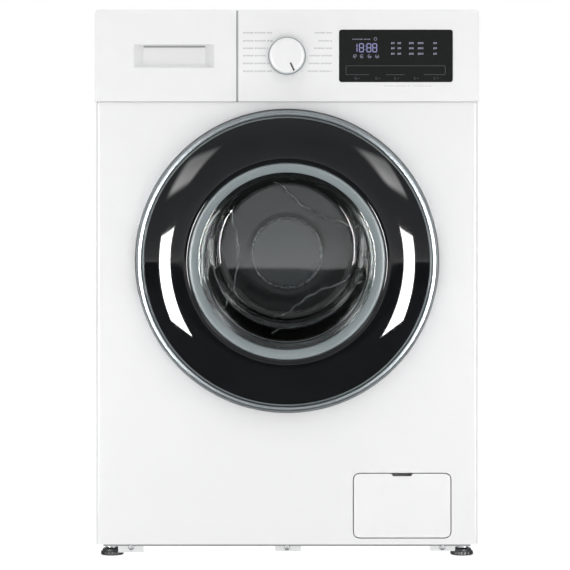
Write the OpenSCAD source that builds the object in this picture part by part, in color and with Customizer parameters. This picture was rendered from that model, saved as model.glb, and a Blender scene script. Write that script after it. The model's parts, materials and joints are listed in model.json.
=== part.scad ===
// Front load washing machine. +Z is up, the front faces -Y, the origin is on the floor at the
// middle of the machine's outer box. Every length is in millimetres.

/* [Cabinet] */
// Overall width, at the fascia and the worktop
machine_w = 596; // [594:1:600]
// Overall height with the feet screwed in
machine_h = 850; // [846:1:856]
// Overall depth, from the door's crown to the water inlet's mouth
machine_d = 550; // [550:2:570]
// Width over the steel side panels
cabinet_w = 592; // [590:1:592]
// Height of the cabinet's underside above the floor
base_z = 20; // [19:1:21]
// Height of the seam between the front panel and the fascia
seam_z = 707; // [706:1:708]
// Thickness of the painted steel sheet
sheet = 1.2; // [1:0.1:1.4]
// Thickness of the worktop
worktop_t = 18; // [16:1:18]

/* [Door] */
// Height of the door's centre, which is also the drum's
axis_z = 460.5; // [459:0.5:462]
// Radius over the trim ring
door_r = 233; // [231:1:234]
// How far the door's crown stands out of the front panel
door_proud = 35; // [33:1:37]
// Inner radius of the dark cover, where the grey window ring starts
window_r = 152; // [150:1:153]
// Clear radius of the window
glass_r = 136.5; // [134:0.5:137]

/* [Fascia] */
// Height of the knob's centre
knob_z = 778; // [774:1:782]
// Radius of the knob's cap
knob_r = 27.5; // [26:0.5:28]
// Right edge of the drawer's front
drawer_right = -78.5; // [-80:0.5:-77]
// Width of the display window
display_w = 176; // [170:1:178]
// Height of the display window
display_h = 81; // [78:1:83]

/* [Service flap] */
// Width of the flap
flap_w = 150; // [146:1:151]
// Height of the flap
flap_h = 99; // [95:1:100]

/* [Drum] */
// Outer radius of the drum
drum_r = 232; // [228:1:233]
// Outer radius of the tub
tub_r = 250; // [249:1:250]
// Radius of the drum pulley
pulley_r = 150; // [145:1:152]
// Radius of the motor pulley
motor_pulley_r = 11; // [10:0.5:12]

/* [Feet] */
// Radius of a foot's pad
foot_r = 18; // [16:0.5:19]
// Distance of the front feet from the middle
foot_x = 273.5; // [270:0.5:274]

/* [Hidden] */
$fn = 96;
run = 0.05;            // radial clearance of a running fit
front_y = -machine_d / 2 + door_proud;
back_y = 260;
side_x = cabinet_w / 2;
edge_x = machine_w / 2;
fascia_y = front_y - 3;
fascia_back = front_y + 14;
top_z = machine_h - worktop_t;
seam_gap = 0.7;
inner_x = side_x - 1.5;

// door, dish and opening
dish_r = door_r + 3;
seat_y = front_y + 10;
opening_r = 158;
trim_w = 9;
cover_r = door_r - 12;
dome_r = 125;
pivot_x = -222;
pivot_y = front_y - 9;
knuckle_r = 5.5;
pin_r = 3;
ear_z = 32;            // lower face of the upper hinge ear, above the axis
hook_x = 190;
hook_y = front_y - 3;

// fascia and drawer
fascia_left = drawer_right + 3;
display_x = 168.8;
display_z = 778.2;
tray_x = [-279, -97];
tray_z = [738, 806];
tray_back = 30;
box_x = [-284, -92];
box_z = [733, 822];
box_back = 60;
box_wall = 2;
grip_x = [-237.5, -113];
grip_z = [759.5, 796];
grip_depth = 15;

// service flap, filter and pump
flap_x = 178.6;
flap_z = 80.8;
flap_t = 2.6;
flap_axis_y = front_y + 6;
flap_axis_z = flap_z - flap_h / 2 + 13.8;
pocket_back = -212;
filter_x = 150;
filter_z = 80;
outlet_x = 240;
outlet_z = 63;
outlet_y = -165;

// tub, drum and drive
tub_wall = 4;
neck_r = 152.5;
tub_front_y = -150;
tub_join_y = 20;
tub_back_y = 182;
hub_r = 45;
hub_y = 169;
drum_front_y = -138;
drum_back_y = 150;
mouth_r = 150;
shaft_r = 15;
shaft_end_r = 12.5;
motor_x = -70;
motor_z = 138;
motor_r = 58;
belt_y = [212, 224];
spring_x = 225;
spring_y = 100;
damper_x = 190;
damper_y = 60;
sump_y = -114;
bellows_x = -150;
bellows_y = -10;

// rear fittings
inlet_x = -180;
inlet_z = 790;
inlet_r = 13.2;
gland_x = 230;
gland_z = 700;
transit_x = 200;
transit_dz = 130;
rear_foot_y = 225;
front_foot_y = -203;

// ---------------------------------------------------------------- outlines and basic solids

// points of an arc about [cx, cy] from angle a0 to a1
function arc(cx, cy, r, a0, a1, n = 6) =
    [for (i = [0 : n]) let (a = a0 + (a1 - a0) * i / n) [cx + r * cos(a), cy + r * sin(a)]];

// rectangle with four round corners
function round_rect(x0, y0, x1, y1, r) = concat(
    arc(x1 - r, y1 - r, r, 0, 90), arc(x0 + r, y1 - r, r, 90, 180),
    arc(x0 + r, y0 + r, r, 180, 270), arc(x1 - r, y0 + r, r, 270, 360));

// rectangle with its own radius at each top corner
function top_rounded(x0, y0, x1, y1, r_left, r_right) = concat(
    [[x0, y0], [x1, y0]],
    arc(x1 - r_right, y1 - r_right, r_right, 0, 90),
    arc(x0 + r_left, y1 - r_left, r_left, 90, 180));

module block(x, y, z) {
    translate([x[0], y[0], z[0]])
        cube([x[1] - x[0], y[1] - y[0], z[1] - z[0]]);
}

// an [x, z] outline given depth along Y
module slab(points, y) {
    translate([0, y[1], 0])
        rotate([90, 0, 0])
            linear_extrude(y[1] - y[0])
                polygon(points);
}

// a cylinder along Y
module rod_y(r, y, x = 0, z = axis_z) {
    translate([x, y[0], z])
        rotate([-90, 0, 0])
            cylinder(r = r, h = y[1] - y[0]);
}

module tube_y(r_out, r_in, y, x = 0, z = axis_z) {
    difference() {
        rod_y(r_out, y, x, z);
        rod_y(r_in, [y[0] - 1, y[1] + 1], x, z);
    }
}

module rod_z(r, x, y, z) {
    translate([x, y, z[0]])
        cylinder(r = r, h = z[1] - z[0]);
}

module tube_z(r_out, r_in, x, y, z) {
    difference() {
        rod_z(r_out, x, y, z);
        rod_z(r_in, x, y, [z[0] - 1, z[1] + 1]);
    }
}

module rod_x(r, x, y, z) {
    translate([x[0], y, z])
        rotate([0, 90, 0])
            cylinder(r = r, h = x[1] - x[0]);
}

// a ring or disc turned about the machine's axis from [radius, y] points
module turned(points, x = 0, z = axis_z) {
    translate([x, 0, z])
        rotate([-90, 0, 0])
            rotate_extrude()
                polygon(points);
}

module both_sides() {
    children();
    mirror([1, 0, 0])
        children();
}

// ---------------------------------------------------------------- cabinet

// flat front sheet folded back round both upright edges
module folded_front() {
    r = 5;
    depth = 14;
    outer = concat(arc(side_x - r, front_y + r, r, 0, -90), arc(-side_x + r, front_y + r, r, 270, 180),
                   [[-side_x, front_y + depth], [side_x, front_y + depth]]);
    ri = r - sheet;
    xi = side_x - sheet;
    inner = concat(arc(xi - ri, front_y + r, ri, 0, -90), arc(-xi + ri, front_y + r, ri, 270, 180),
                   [[-xi, front_y + depth + 1], [xi, front_y + depth + 1]]);
    z0 = base_z + 0.5;
    h = seam_z - seam_gap - z0;
    difference() {
        translate([0, 0, z0])
            linear_extrude(h)
                polygon(outer);
        translate([0, 0, z0 + sheet])
            linear_extrude(h - 2 * sheet)
                polygon(inner);
    }
}

module front_panel() {
    back = seat_y + sheet;
    slot_x = [hook_x - 12, hook_x + 16];
    color("white")
    difference() {
        union() {
            difference() {
                folded_front();
                rod_y(dish_r, [front_y - 1, front_y + 8]);
            }
            turned([
                [dish_r + 3, front_y], [dish_r, front_y], [dish_r - 2.5, seat_y],
                [opening_r + 5, seat_y], [opening_r, seat_y + 5], [opening_r, seat_y + 18],
                [opening_r + sheet, seat_y + 18], [opening_r + sheet, seat_y + 5.5],
                [opening_r + 5.5, back], [dish_r - 1, back], [dish_r + 1.6, front_y + sheet],
                [dish_r + 3, front_y + sheet]
            ]);
        }
        slab(round_rect(flap_x - flap_w / 2 - 1.5, flap_z - flap_h / 2 - 1.5,
                        flap_x + flap_w / 2 + 1.5, flap_z + flap_h / 2 + 1.5, 10.5),
             [front_y - 1, front_y + 3]);
        block(slot_x, [seat_y - 1, back + 1], [axis_z - 10, axis_z + 10]);
    }
}

module side_panel() {
    y0 = fascia_back + 0.6;
    y1 = back_y - 1.5;
    z = [base_z + 2, top_z - 0.2];
    fold = 16;
    block([side_x - 1, side_x], [y0, y1], z);
    block([side_x - fold, side_x], [y0, y0 + 1], z);
    block([side_x - fold, side_x], [y1 - 1, y1], z);
}

module side_panels() {
    color("white")
        both_sides()
            side_panel();
}

module rear_panel() {
    color("lightgray")
    difference() {
        block([-inner_x, inner_x], [back_y - sheet, back_y], [base_z + 2, top_z - 0.2]);
        rod_y(150, [back_y - 3, back_y + 1]);
        rod_y(inlet_r + 1.3, [back_y - 3, back_y + 1], inlet_x, inlet_z);
        rod_y(11.5, [back_y - 3, back_y + 1], outlet_x, outlet_z);
        rod_y(9.2, [back_y - 3, back_y + 1], gland_x, gland_z);
        for (sx = [-1, 1], sz = [-1, 1])
            rod_y(11, [back_y - 3, back_y + 1], sx * transit_x, axis_z + sz * transit_dz);
    }
}

module rear_cover() {
    rise = 8;
    color("lightgray")
        turned([
            [0, back_y + rise], [152, back_y + rise], [162, back_y + sheet], [175, back_y + sheet],
            [175, back_y], [161, back_y], [151, back_y + rise - sheet],
            [0, back_y + rise - sheet]
        ]);
}

module worktop() {
    color("white")
        slab(top_rounded(-edge_x, top_z, edge_x, machine_h, 7, 7), [fascia_back + 0.5, back_y + 2]);
}

module top_crossbars() {
    z = [top_z - 18, top_z - 0.2];
    color("silver") {
        block([-inner_x, inner_x], [-216, -190], [top_z - 8, top_z - 0.2]);
        block([-inner_x, inner_x], [spring_y - 8, spring_y + 8], z);
        block([-inner_x, inner_x], [back_y - 24, back_y - 4], z);
    }
}

module base_frame() {
    y = [front_y + 17, back_y - 4];
    rim = 26;
    wall = 3;
    lip_y = front_y + 4;
    tab_x = [[-262, -222], [-19, 22], [222, 261]];
    tab_low = [7.4, 9, 9.8];
    color("gainsboro")
    difference() {
        union() {
            difference() {
                block([-inner_x, inner_x], y, [base_z, base_z + rim]);
                block([-inner_x + wall, inner_x - wall], [y[0] + wall, y[1] - wall],
                      [base_z + 2.5, base_z + rim + 1]);
                block([flap_x - 84, flap_x + 84], [y[0] - 1, y[0] + wall + 1],
                      [base_z + 2.5, base_z + rim + 1]);
            }
            block([-285, 285], [lip_y, y[0]], [base_z - 3, base_z]);
            block([-285, 285], [y[0], y[0] + 6], [base_z - 3, base_z]);
            for (i = [0 : 2])
                block(tab_x[i], [lip_y, lip_y + 2], [tab_low[i], base_z - 1]);
            for (sx = [-1, 1], fy = [front_foot_y, rear_foot_y])
                rod_z(15, sx * foot_x, fy, [base_z, base_z + 22]);
        }
        for (sx = [-1, 1], fy = [front_foot_y, rear_foot_y])
            rod_z(5 + run, sx * foot_x, fy, [base_z - 5, base_z + 30]);
    }
}

module cabinet_screws() {
    color("silver") {
        for (x = [-242, 0, 241])
            rod_y(4.5, [front_y + 1.5, front_y + 4], x, 15.5);
        for (sx = [-1, 1], z = [60, 260, 560, 760])
            rod_y(4.5, [back_y, back_y + 2.2], sx * 284, z);
        for (a = [30 : 60 : 330])
            rod_y(4, [back_y + sheet, back_y + 3.2], 168.5 * cos(a), axis_z + 168.5 * sin(a));
    }
}

module lock_nuts() {
    color("silver")
    for (sx = [-1, 1], fy = [front_foot_y, rear_foot_y])
        difference() {
            translate([sx * foot_x, fy, 11])
                cylinder(r = 11, h = base_z - 11, $fn = 6);
            rod_z(5 + run, sx * foot_x, fy, [10, base_z + 1]);
        }
}

module transit_caps() {
    color("whitesmoke")
    for (sx = [-1, 1], sz = [-1, 1]) {
        rod_y(15, [back_y, back_y + 3], sx * transit_x, axis_z + sz * transit_dz);
        rod_y(10.8, [back_y - 10, back_y], sx * transit_x, axis_z + sz * transit_dz);
    }
}

module cable_gland() {
    color("dimgray")
        turned([
            [4.2, back_y - 5], [9, back_y - 5], [9, back_y], [13, back_y], [13, back_y + 3],
            [8, back_y + 12], [4.2, back_y + 12]
        ], gland_x, gland_z);
}

// ---------------------------------------------------------------- fascia and dispenser

// a moulded cover: front skin 3 mm thick with a 2.5 mm skirt round it
module moulded_cover(x0, x1, r_left, r_right) {
    z0 = seam_z + 0.5;
    difference() {
        slab(top_rounded(x0, z0, x1, machine_h, r_left, r_right), [fascia_y, fascia_back]);
        slab(top_rounded(x0 + 2.5, z0 + 2.5, x1 - 2.5, machine_h - 2.5,
                         max(r_left - 2.5, 0.5), max(r_right - 2.5, 0.5)),
             [fascia_y + 3, fascia_back + 1]);
    }
}

module control_fascia() {
    dx = display_w / 2 + 0.3;
    dz = display_h / 2 + 0.3;
    color("white") {
        difference() {
            moulded_cover(fascia_left, edge_x, 1, 7);
            slab(round_rect(display_x - dx, display_z - dz, display_x + dx, display_z + dz, 4),
                 [fascia_y - 1, fascia_y + 1.6]);
            rod_y(5, [fascia_y - 1, fascia_y + 4], 0, knob_z);
        }
        for (px = [-12, 254], pz = [742, 814])
            rod_y(3, [fascia_y + 3, fascia_y + 9], px, pz);
    }
}

module fascia_carrier() {
    y = [fascia_back + 1.8, fascia_back + 5];
    color("whitesmoke")
    difference() {
        block([-inner_x, inner_x], y, [seam_z + 3, top_z - 1]);
        block([box_x[0] + box_wall, box_x[1] - box_wall], [y[0] - 1, y[1] + 1],
              [box_z[0] + box_wall, box_z[1] - box_wall]);
    }
}

module display_window() {
    color([0.08, 0.08, 0.09])
        slab(round_rect(display_x - display_w / 2, display_z - display_h / 2,
                        display_x + display_w / 2, display_z + display_h / 2, 4),
             [fascia_y - 0.4, fascia_y + 1.6]);
}

module control_board() {
    y = fascia_y + 9;
    color("darkgreen") {
        block([-22, 264], [y, y + 1.6], [735, 821]);
        block([20, 70], [y + 1.6, y + 6], [750, 800]);
        block([110, 210], [y + 1.6, y + 4], [760, 800]);
        difference() {
            block([-9, 9], [y - 5, y], [knob_z - 9, knob_z + 9]);
            rod_y(3 + run, [y - 6, y + 1], 0, knob_z);
        }
    }
}

module dispenser_housing() {
    y = [fascia_back + 5.2, box_back];
    color("whitesmoke")
    difference() {
        union() {
            block(box_x, y, box_z);
            rod_z(14, bellows_x, bellows_y, [box_z[0] - 20, box_z[0]]);
        }
        block([box_x[0] + box_wall, box_x[1] - box_wall], [y[0] - 1, y[1] - box_wall],
              [box_z[0] + box_wall, box_z[1] - box_wall]);
        rod_z(11, bellows_x, bellows_y, [box_z[0] - 21, box_z[0] + 3]);
        rod_y(6, [y[1] - 5, y[1] + 1], inlet_x, inlet_z);
    }
}

module inlet_valve() {
    y = [228, back_y - sheet - 0.1];
    color("whitesmoke") {
        difference() {
            union() {
                block([inlet_x - 25, inlet_x + 25], y, [inlet_z - 18, inlet_z + 18]);
                rod_y(inlet_r, [y[1], machine_d / 2], inlet_x, inlet_z);
                rod_y(8, [box_back, y[0]], inlet_x, inlet_z);
            }
            rod_y(9, [y[1], machine_d / 2 + 1], inlet_x, inlet_z);
            rod_y(6, [box_back - 1, y[0] + 4], inlet_x, inlet_z);
        }
        rod_z(13, inlet_x, 243, [inlet_z - 48, inlet_z - 18]);
    }
}

module fill_bellows() {
    color("dimgray")
        tube_z(17, 14.3, bellows_x, bellows_y, [682, box_z[0] - 0.2]);
}

// the space of the drawer's finger recess, grown by its wall thickness
module grip_space(grow, y0) {
    x = [grip_x[0] - grow, grip_x[1] + grow];
    z = [grip_z[0] - grow, grip_z[1] + grow];
    y1 = fascia_y + grip_depth + grow;
    intersection() {
        translate([0, 0, z[0] - 5])
            linear_extrude(z[1] - z[0] + 10)
                polygon([[x[0], y0], [x[1], y0], [x[1], fascia_y], [x[1] - 14, y1],
                         [x[0] + 14, y1], [x[0], fascia_y]]);
        translate([x[0] - 5, 0, 0])
            rotate([90, 0, 90])
                linear_extrude(x[1] - x[0] + 10)
                    polygon([[y0, z[0]], [fascia_y, z[0]], [y1, z[0] + 4.5], [y1, z[1]],
                             [y0, z[1]]]);
    }
}

module drawer_front() {
    color("white")
    difference() {
        union() {
            moulded_cover(-edge_x, drawer_right, 7, 1);
            intersection() {
                grip_space(2, fascia_y - 1);
                block([-edge_x, drawer_right], [fascia_y + 1, fascia_back + 5],
                      [seam_z, machine_h]);
            }
        }
        grip_space(0, fascia_y - 1);
    }
}

// one compartment cut from the tray
module compartment(x, y) {
    block(x, y, [tray_z[0] + 3, tray_z[1] + 1]);
}

module drawer_tray() {
    y = [fascia_back, tray_back];
    color("whitesmoke")
    difference() {
        union() {
            block(tray_x, y, tray_z);
            block([tray_x[0] + 20, tray_x[1] - 20], [y[1] - 30, y[1]], [tray_z[1], tray_z[1] + 6]);
        }
        compartment([tray_x[0] + 3, -222], [fascia_back + 3, y[1] - 3]);
        compartment([-219, -157], [fascia_back + 3, -70]);
        compartment([-219, -157], [-67, y[1] - 3]);
        compartment([-154, tray_x[1] - 3], [fascia_back + 3, y[1] - 3]);
        block([tray_x[0] + 23, tray_x[1] - 23], [y[1] - 27, y[1] - 3], [tray_z[1], tray_z[1] + 7]);
    }
}

module knob() {
    front = fascia_y - 22;
    color("white")
        turned([
            [0, front], [knob_r - 3.5, front], [knob_r - 1, front + 1], [knob_r, front + 3.5],
            [knob_r, front + 17], [knob_r + 1.9, front + 17.5], [knob_r + 1.9, front + 21.4],
            [3, front + 21.4], [3, fascia_y + 8.5], [0, fascia_y + 8.5]
        ], 0, knob_z);
}

// ---------------------------------------------------------------- service flap, filter, pump

module flap_frame() {
    x = [flap_x - flap_w / 2 - 3.5, flap_x + flap_w / 2 + 3.5];
    z = [flap_z - flap_h / 2 - 4.8, flap_z + flap_h / 2 + 3.5];
    y = [front_y + sheet, pocket_back];
    ear_x = flap_w / 2 - 13;
    color("whitesmoke")
    difference() {
        union() {
            difference() {
                block(x, y, z);
                block([x[0] + 2, x[1] - 2], [y[0] - 1, y[1] - 2], [z[0] + 1.6, z[1] - 2]);
                rod_y(34, [y[1] - 3, y[1] + 1], filter_x, filter_z);
            }
            for (s = [-1, 1]) {
                block([flap_x + s * ear_x - 2, flap_x + s * ear_x + 2],
                      [flap_axis_y, y[1] - 1], [flap_axis_z - 2.6, flap_axis_z + 2.6]);
                rod_x(2.9, [flap_x + s * ear_x - 2, flap_x + s * ear_x + 2],
                      flap_axis_y, flap_axis_z);
            }
        }
        for (s = [-1, 1])
            rod_x(1.6 + run, [flap_x + s * ear_x - 3, flap_x + s * ear_x + 3],
                  flap_axis_y, flap_axis_z);
    }
}

module service_flap() {
    lug_x = flap_w / 2 - 18.5;
    top = flap_z + flap_h / 2;
    color("white")
    union() {
        difference() {
            slab(round_rect(flap_x - flap_w / 2, flap_z - flap_h / 2, flap_x + flap_w / 2, top, 9),
                 [front_y, front_y + flap_t]);
            slab([[flap_x - 17, top + 1], [flap_x - 14, top - 4], [flap_x + 14, top - 4],
                  [flap_x + 17, top + 1]], [front_y - 1, front_y + 5]);
        }
        for (s = [-1, 1]) {
            block([flap_x + s * lug_x - 2.5, flap_x + s * lug_x + 2.5],
                  [front_y + flap_t, flap_axis_y + 2.5], [flap_axis_z - 3, flap_axis_z + 8]);
            rod_x(1.6, [flap_x + s * (lug_x + 4.75) - 4, flap_x + s * (lug_x + 4.75) + 4],
                  flap_axis_y, flap_axis_z);
        }
    }
}

module filter_cap() {
    y = pocket_back - 14;
    color("dimgray") {
        turned([
            [0, y], [31, y], [33, y + 2], [33, pocket_back - 2.6], [28, pocket_back - 2.6],
            [28, pocket_back + 22], [20, pocket_back + 22], [20, pocket_back + 60],
            [0, pocket_back + 60]
        ], filter_x, filter_z);
        block([filter_x - 4, filter_x + 4], [y - 8, y], [filter_z - 26, filter_z + 26]);
    }
}

module drain_pump() {
    y = [pocket_back, -84];
    bore = 28.5;
    color("whitesmoke")
    union() {
        turned([
            [bore, y[0]], [36, y[0]], [36, y[1]], [26, y[1]], [26, -30], [0, -30],
            [0, y[1] - 4], [bore, y[1] - 4]
        ], filter_x, filter_z);
        difference() {
            union() {
                tube_z(18, 15, filter_x, sump_y, [filter_z + 10, 134]);
                rod_x(10, [filter_x + 10, outlet_x - 20], outlet_y, outlet_z);
            }
            rod_y(bore + 3, [y[0] - 1, y[1]], filter_x, filter_z);
        }
    }
}

// a round run from the pump to the back
module drain_pipe_solid(r, grow) {
    rod_x(r, [outlet_x - 20 - grow, outlet_x], outlet_y, outlet_z);
    translate([outlet_x, outlet_y, outlet_z])
        sphere(r = r);
    rod_y(r, [outlet_y, back_y + 12 + grow], outlet_x, outlet_z);
}

// the pipe ends in a wider spigot, which a drain hose is pushed over
module drain_pipe() {
    color("gray")
    difference() {
        union() {
            drain_pipe_solid(9, 0);
            rod_y(10, [back_y + 1, back_y + 12], outlet_x, outlet_z);
        }
        drain_pipe_solid(7, 1);
    }
}

module sump_hose() {
    color("dimgray")
        tube_z(22, 18.2, filter_x, sump_y, [118, 240]);
}

// ---------------------------------------------------------------- hinge, lock, gasket

module hinge_bracket() {
    half = 2.8;
    reach = seat_y - 2 - pivot_y;
    color("silver")
    union() {
        block([pivot_x + 8, pivot_x + 50], [seat_y - 2.5, seat_y], [axis_z - 50, axis_z + 50]);
        for (s = [-1, 1])
            translate([pivot_x, pivot_y, axis_z + s * (ear_z + 2) - 2])
                linear_extrude(4)
                    union() {
                        circle(r = knuckle_r);
                        polygon([[-half, half], [half, -half], [reach + 2 * half, reach],
                                 [reach - 2 * half, reach]]);
                    }
        rod_z(pin_r, pivot_x, pivot_y, [axis_z - ear_z - 7, axis_z + ear_z + 7]);
    }
}

module door_hinge_plate() {
    h = ear_z - 1;
    color("silver")
    difference() {
        union() {
            rod_z(knuckle_r, pivot_x, pivot_y, [axis_z - h, axis_z + h]);
            block([pivot_x, pivot_x + 62], [pivot_y - 1.5, pivot_y + 1.5],
                  [axis_z - h, axis_z + h]);
        }
        rod_z(pin_r + run, pivot_x, pivot_y, [axis_z - h - 1, axis_z + h + 1]);
    }
}

module door_lock() {
    y = [seat_y + sheet, seat_y + 30];
    color("whitesmoke")
    difference() {
        block([hook_x - 17, hook_x + 26], y, [axis_z - 32, axis_z + 32]);
        block([hook_x - 12, hook_x + 16], [y[0] - 1, y[1] - 8], [axis_z - 9, axis_z + 9]);
    }
}

module door_hook() {
    color("silver")
    translate([0, 0, axis_z - 3])
        linear_extrude(6)
            difference() {
                union() {
                    polygon([[hook_x - 3, hook_y], [hook_x + 3, hook_y], [hook_x + 3, hook_y + 17],
                             [hook_x + 8, hook_y + 17], [hook_x + 2, hook_y + 23],
                             [hook_x - 3, hook_y + 21]]);
                    translate([hook_x, hook_y])
                        circle(r = 4.5);
                }
                translate([hook_x, hook_y])
                    circle(r = 2 + run);
            }
}

// bellows seal between the front panel's lip and the tub's neck
module gasket() {
    f = seat_y - 3.5;
    color("dimgray")
        turned([
            [glass_r - 2.5, f + 12], [150, f], [165, f], [165, f + 3.3], [157.6, f + 3.3],
            [157.6, f + 28], [172, f + 34], [172, f + 38], [152, f + 44], [152, f + 61],
            [147, f + 61], [147, f + 41], [163, f + 36], [152.5, f + 31], [152.5, f + 8],
            [glass_r - 0.5, f + 16]
        ]);
}

module gasket_clamp() {
    color("silver")
        tube_y(159, 156, [tub_front_y - 30, tub_front_y - 22]);
}

// ---------------------------------------------------------------- tub and its suspension

// outward lugs stop at the tub's inner wall
module outside_tub() {
    difference() {
        children();
        rod_y(tub_r - tub_wall + 1, [tub_front_y - 10, tub_back_y + 10]);
    }
}

module tub_front() {
    r = tub_r;
    ri = tub_r - tub_wall;
    color("lightgray")
    union() {
        turned([
            [neck_r, tub_front_y - 32], [neck_r + 3.5, tub_front_y - 32],
            [neck_r + 3.5, tub_front_y], [r, tub_front_y], [r, tub_join_y - 6],
            [r + 4, tub_join_y - 6], [r + 4, tub_join_y], [ri, tub_join_y],
            [ri, tub_front_y + tub_wall], [neck_r, tub_front_y + tub_wall]
        ]);
        outside_tub()
            rod_z(18, filter_x, sump_y, [238, 300]);
        outside_tub()
            rod_z(14, bellows_x, bellows_y, [640, 682]);
    }
}

module tub_rear() {
    ri = tub_r - tub_wall;
    color("lightgray")
    union() {
        turned([
            [ri, tub_join_y + 0.2], [tub_r + 4, tub_join_y + 0.2], [tub_r + 4, tub_join_y + 6],
            [tub_r, tub_join_y + 6], [tub_r, tub_back_y], [hub_r, tub_back_y], [hub_r, 207],
            [26, 207], [26, 193], [22, 193], [22, 190.5], [31, 190.5], [31, hub_y],
            [hub_r, hub_y], [hub_r, tub_back_y - 6], [ri, tub_back_y - 6]
        ]);
        both_sides() {
            outside_tub()
                block([spring_x - 12, spring_x + 12], [spring_y - 8, spring_y + 8], [560, 648]);
            outside_tub()
                block([damper_x - 12, damper_x + 12], [damper_y - 10, damper_y + 10], [262, 318]);
        }
    }
}

module drum_bearings() {
    color("silver") {
        tube_y(31, shaft_r + run, [hub_y + 7, hub_y + 21]);
        tube_y(26, shaft_end_r + run, [hub_y + 24.5, hub_y + 37.5]);
    }
}

module shaft_seal() {
    color("black")
        tube_y(31, shaft_r + 0.5, [hub_y + 0.5, hub_y + 6.5]);
}

module front_counterweights() {
    color("darkgray")
    difference() {
        tube_y(240, 162, [tub_front_y - 40, tub_front_y - 0.2]);
        for (a = [0, 90])
            translate([0, 0, axis_z])
                rotate([0, a, 0])
                    block([-22, 22], [tub_front_y - 50, tub_front_y + 1], [-260, 260]);
    }
}

module upper_counterweight() {
    color("darkgray")
    difference() {
        block([-50, 190], [-60, 150], [690, 790]);
        rod_y(tub_r + 4.4, [-80, 170]);
    }
}

module heater() {
    color("gray")
    for (a = [-6, 6])
        rod_y(3.2, [-120, tub_back_y - 6.2], 239.5 * sin(a), axis_z - 239.5 * cos(a));
}

module motor() {
    color("gray")
    difference() {
        union() {
            rod_y(motor_r, [40, 172], motor_x, motor_z);
            rod_y(22, [172, 180], motor_x, motor_z);
            difference() {
                block([motor_x - 45, motor_x + 45], [60, 150], [motor_z + 20, 232]);
                rod_y(tub_r + 0.2, [0, 200]);
            }
        }
        rod_y(8 + run, [150, 181], motor_x, motor_z);
    }
}

module motor_pulley() {
    color("silver")
        turned([
            [0, 152], [8, 152], [8, belt_y[0] - 3], [motor_pulley_r + 2, belt_y[0] - 3],
            [motor_pulley_r + 2, belt_y[0] - 0.5], [motor_pulley_r, belt_y[0] - 0.5],
            [motor_pulley_r, belt_y[1] + 0.5], [motor_pulley_r + 2, belt_y[1] + 0.5],
            [motor_pulley_r + 2, belt_y[1] + 3], [0, belt_y[1] + 3]
        ], motor_x, motor_z);
}

// outline of a belt round both pulleys, a given distance outside their rims
function belt_line(off) =
    let (dx = motor_x, dz = motor_z - axis_z, dist = norm([dx, dz]), lean = atan2(dz, dx),
         spread = acos((pulley_r - motor_pulley_r) / dist))
    concat(arc(0, axis_z, pulley_r + off, lean + spread, lean + 360 - spread, 60),
           arc(motor_x, motor_z, motor_pulley_r + off, lean - spread, lean + spread, 12));

module drive_belt() {
    color([0.1, 0.1, 0.1])
    difference() {
        slab(belt_line(3.4), belt_y);
        slab(belt_line(0.4), [belt_y[0] - 1, belt_y[1] + 1]);
    }
}

module suspension_springs() {
    color("silver")
        both_sides()
            tube_z(15, 12, spring_x, spring_y, [648, top_z - 18]);
}

module damper_cylinders() {
    z = [base_z + 2.6, 190];
    color("dimgray")
    both_sides()
        difference() {
            rod_z(14, damper_x, damper_y, z);
            rod_z(9.5, damper_x, damper_y, [z[0] + 6, z[1] + 1]);
        }
}

module damper_rods() {
    color("silver")
    both_sides() {
        rod_z(5, damper_x, damper_y, [150, 262]);
        rod_z(8.8, damper_x, damper_y, [130, 150]);
    }
}

// ---------------------------------------------------------------- drum

module drum_shell() {
    r = drum_r;
    t = 1;
    color("silver")
        turned([
            [mouth_r, drum_front_y], [mouth_r + 4, drum_front_y - 3],
            [mouth_r + 10, drum_front_y], [r - 12, drum_front_y + 8], [r, drum_front_y + 20],
            [r, drum_back_y], [70, drum_back_y], [59, drum_back_y + 6], [0, drum_back_y + 6],
            [0, drum_back_y + 5], [58, drum_back_y + 5], [69, drum_back_y - t],
            [r - t, drum_back_y - t], [r - t, drum_front_y + 21],
            [r - 12.6, drum_front_y + 9], [mouth_r + 10, drum_front_y + t],
            [mouth_r + t, drum_front_y + t]
        ]);
}

module drum_lifters() {
    color("whitesmoke")
    for (a = [60, 180, 300])
        translate([0, 0, axis_z])
            rotate([0, -a, 0])
                intersection() {
                    translate([0, -115, 0])
                        rotate([-90, 0, 0])
                            linear_extrude(255)
                                polygon([[240, -34], [206, -22], [184, -9], [180, 0],
                                         [184, 9], [206, 22], [240, 34]]);
                    rotate([-90, 0, 0])
                        translate([0, 0, -120])
                            cylinder(r = drum_r - 1, h = 300);
                }
}

module drum_spider() {
    y = [drum_back_y + 6, drum_back_y + 16];
    color("gray")
    difference() {
        union() {
            rod_y(55, y);
            for (a = [0, 120, 240])
                translate([0, 0, axis_z])
                    rotate([0, a, 0]) {
                        block([-15, 15], y, [30, drum_r - 6]);
                        block([-15, 15], [drum_back_y, y[1]], [72, drum_r - 6]);
                    }
        }
        rod_y(shaft_r, [drum_back_y, y[1] + 1]);
    }
}

module drum_shaft() {
    color("silver")
        turned([
            [0, drum_back_y + 6], [shaft_r, drum_back_y + 6], [shaft_r, hub_y + 21.5],
            [shaft_end_r, hub_y + 23], [shaft_end_r, 229], [0, 229]
        ]);
}

module drum_pulley() {
    y = [belt_y[0] - 2, belt_y[1] + 2];
    color("silver")
    difference() {
        union() {
            tube_y(pulley_r, pulley_r - 10, y);
            rod_y(30, y);
            for (a = [0 : 60 : 300])
                translate([0, 0, axis_z])
                    rotate([0, a, 0])
                        block([-9, 9], [y[0] + 4, y[1] - 4], [20, pulley_r - 5]);
        }
        rod_y(shaft_end_r, [y[0] - 1, y[1] + 1]);
    }
}

// ---------------------------------------------------------------- door

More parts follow.
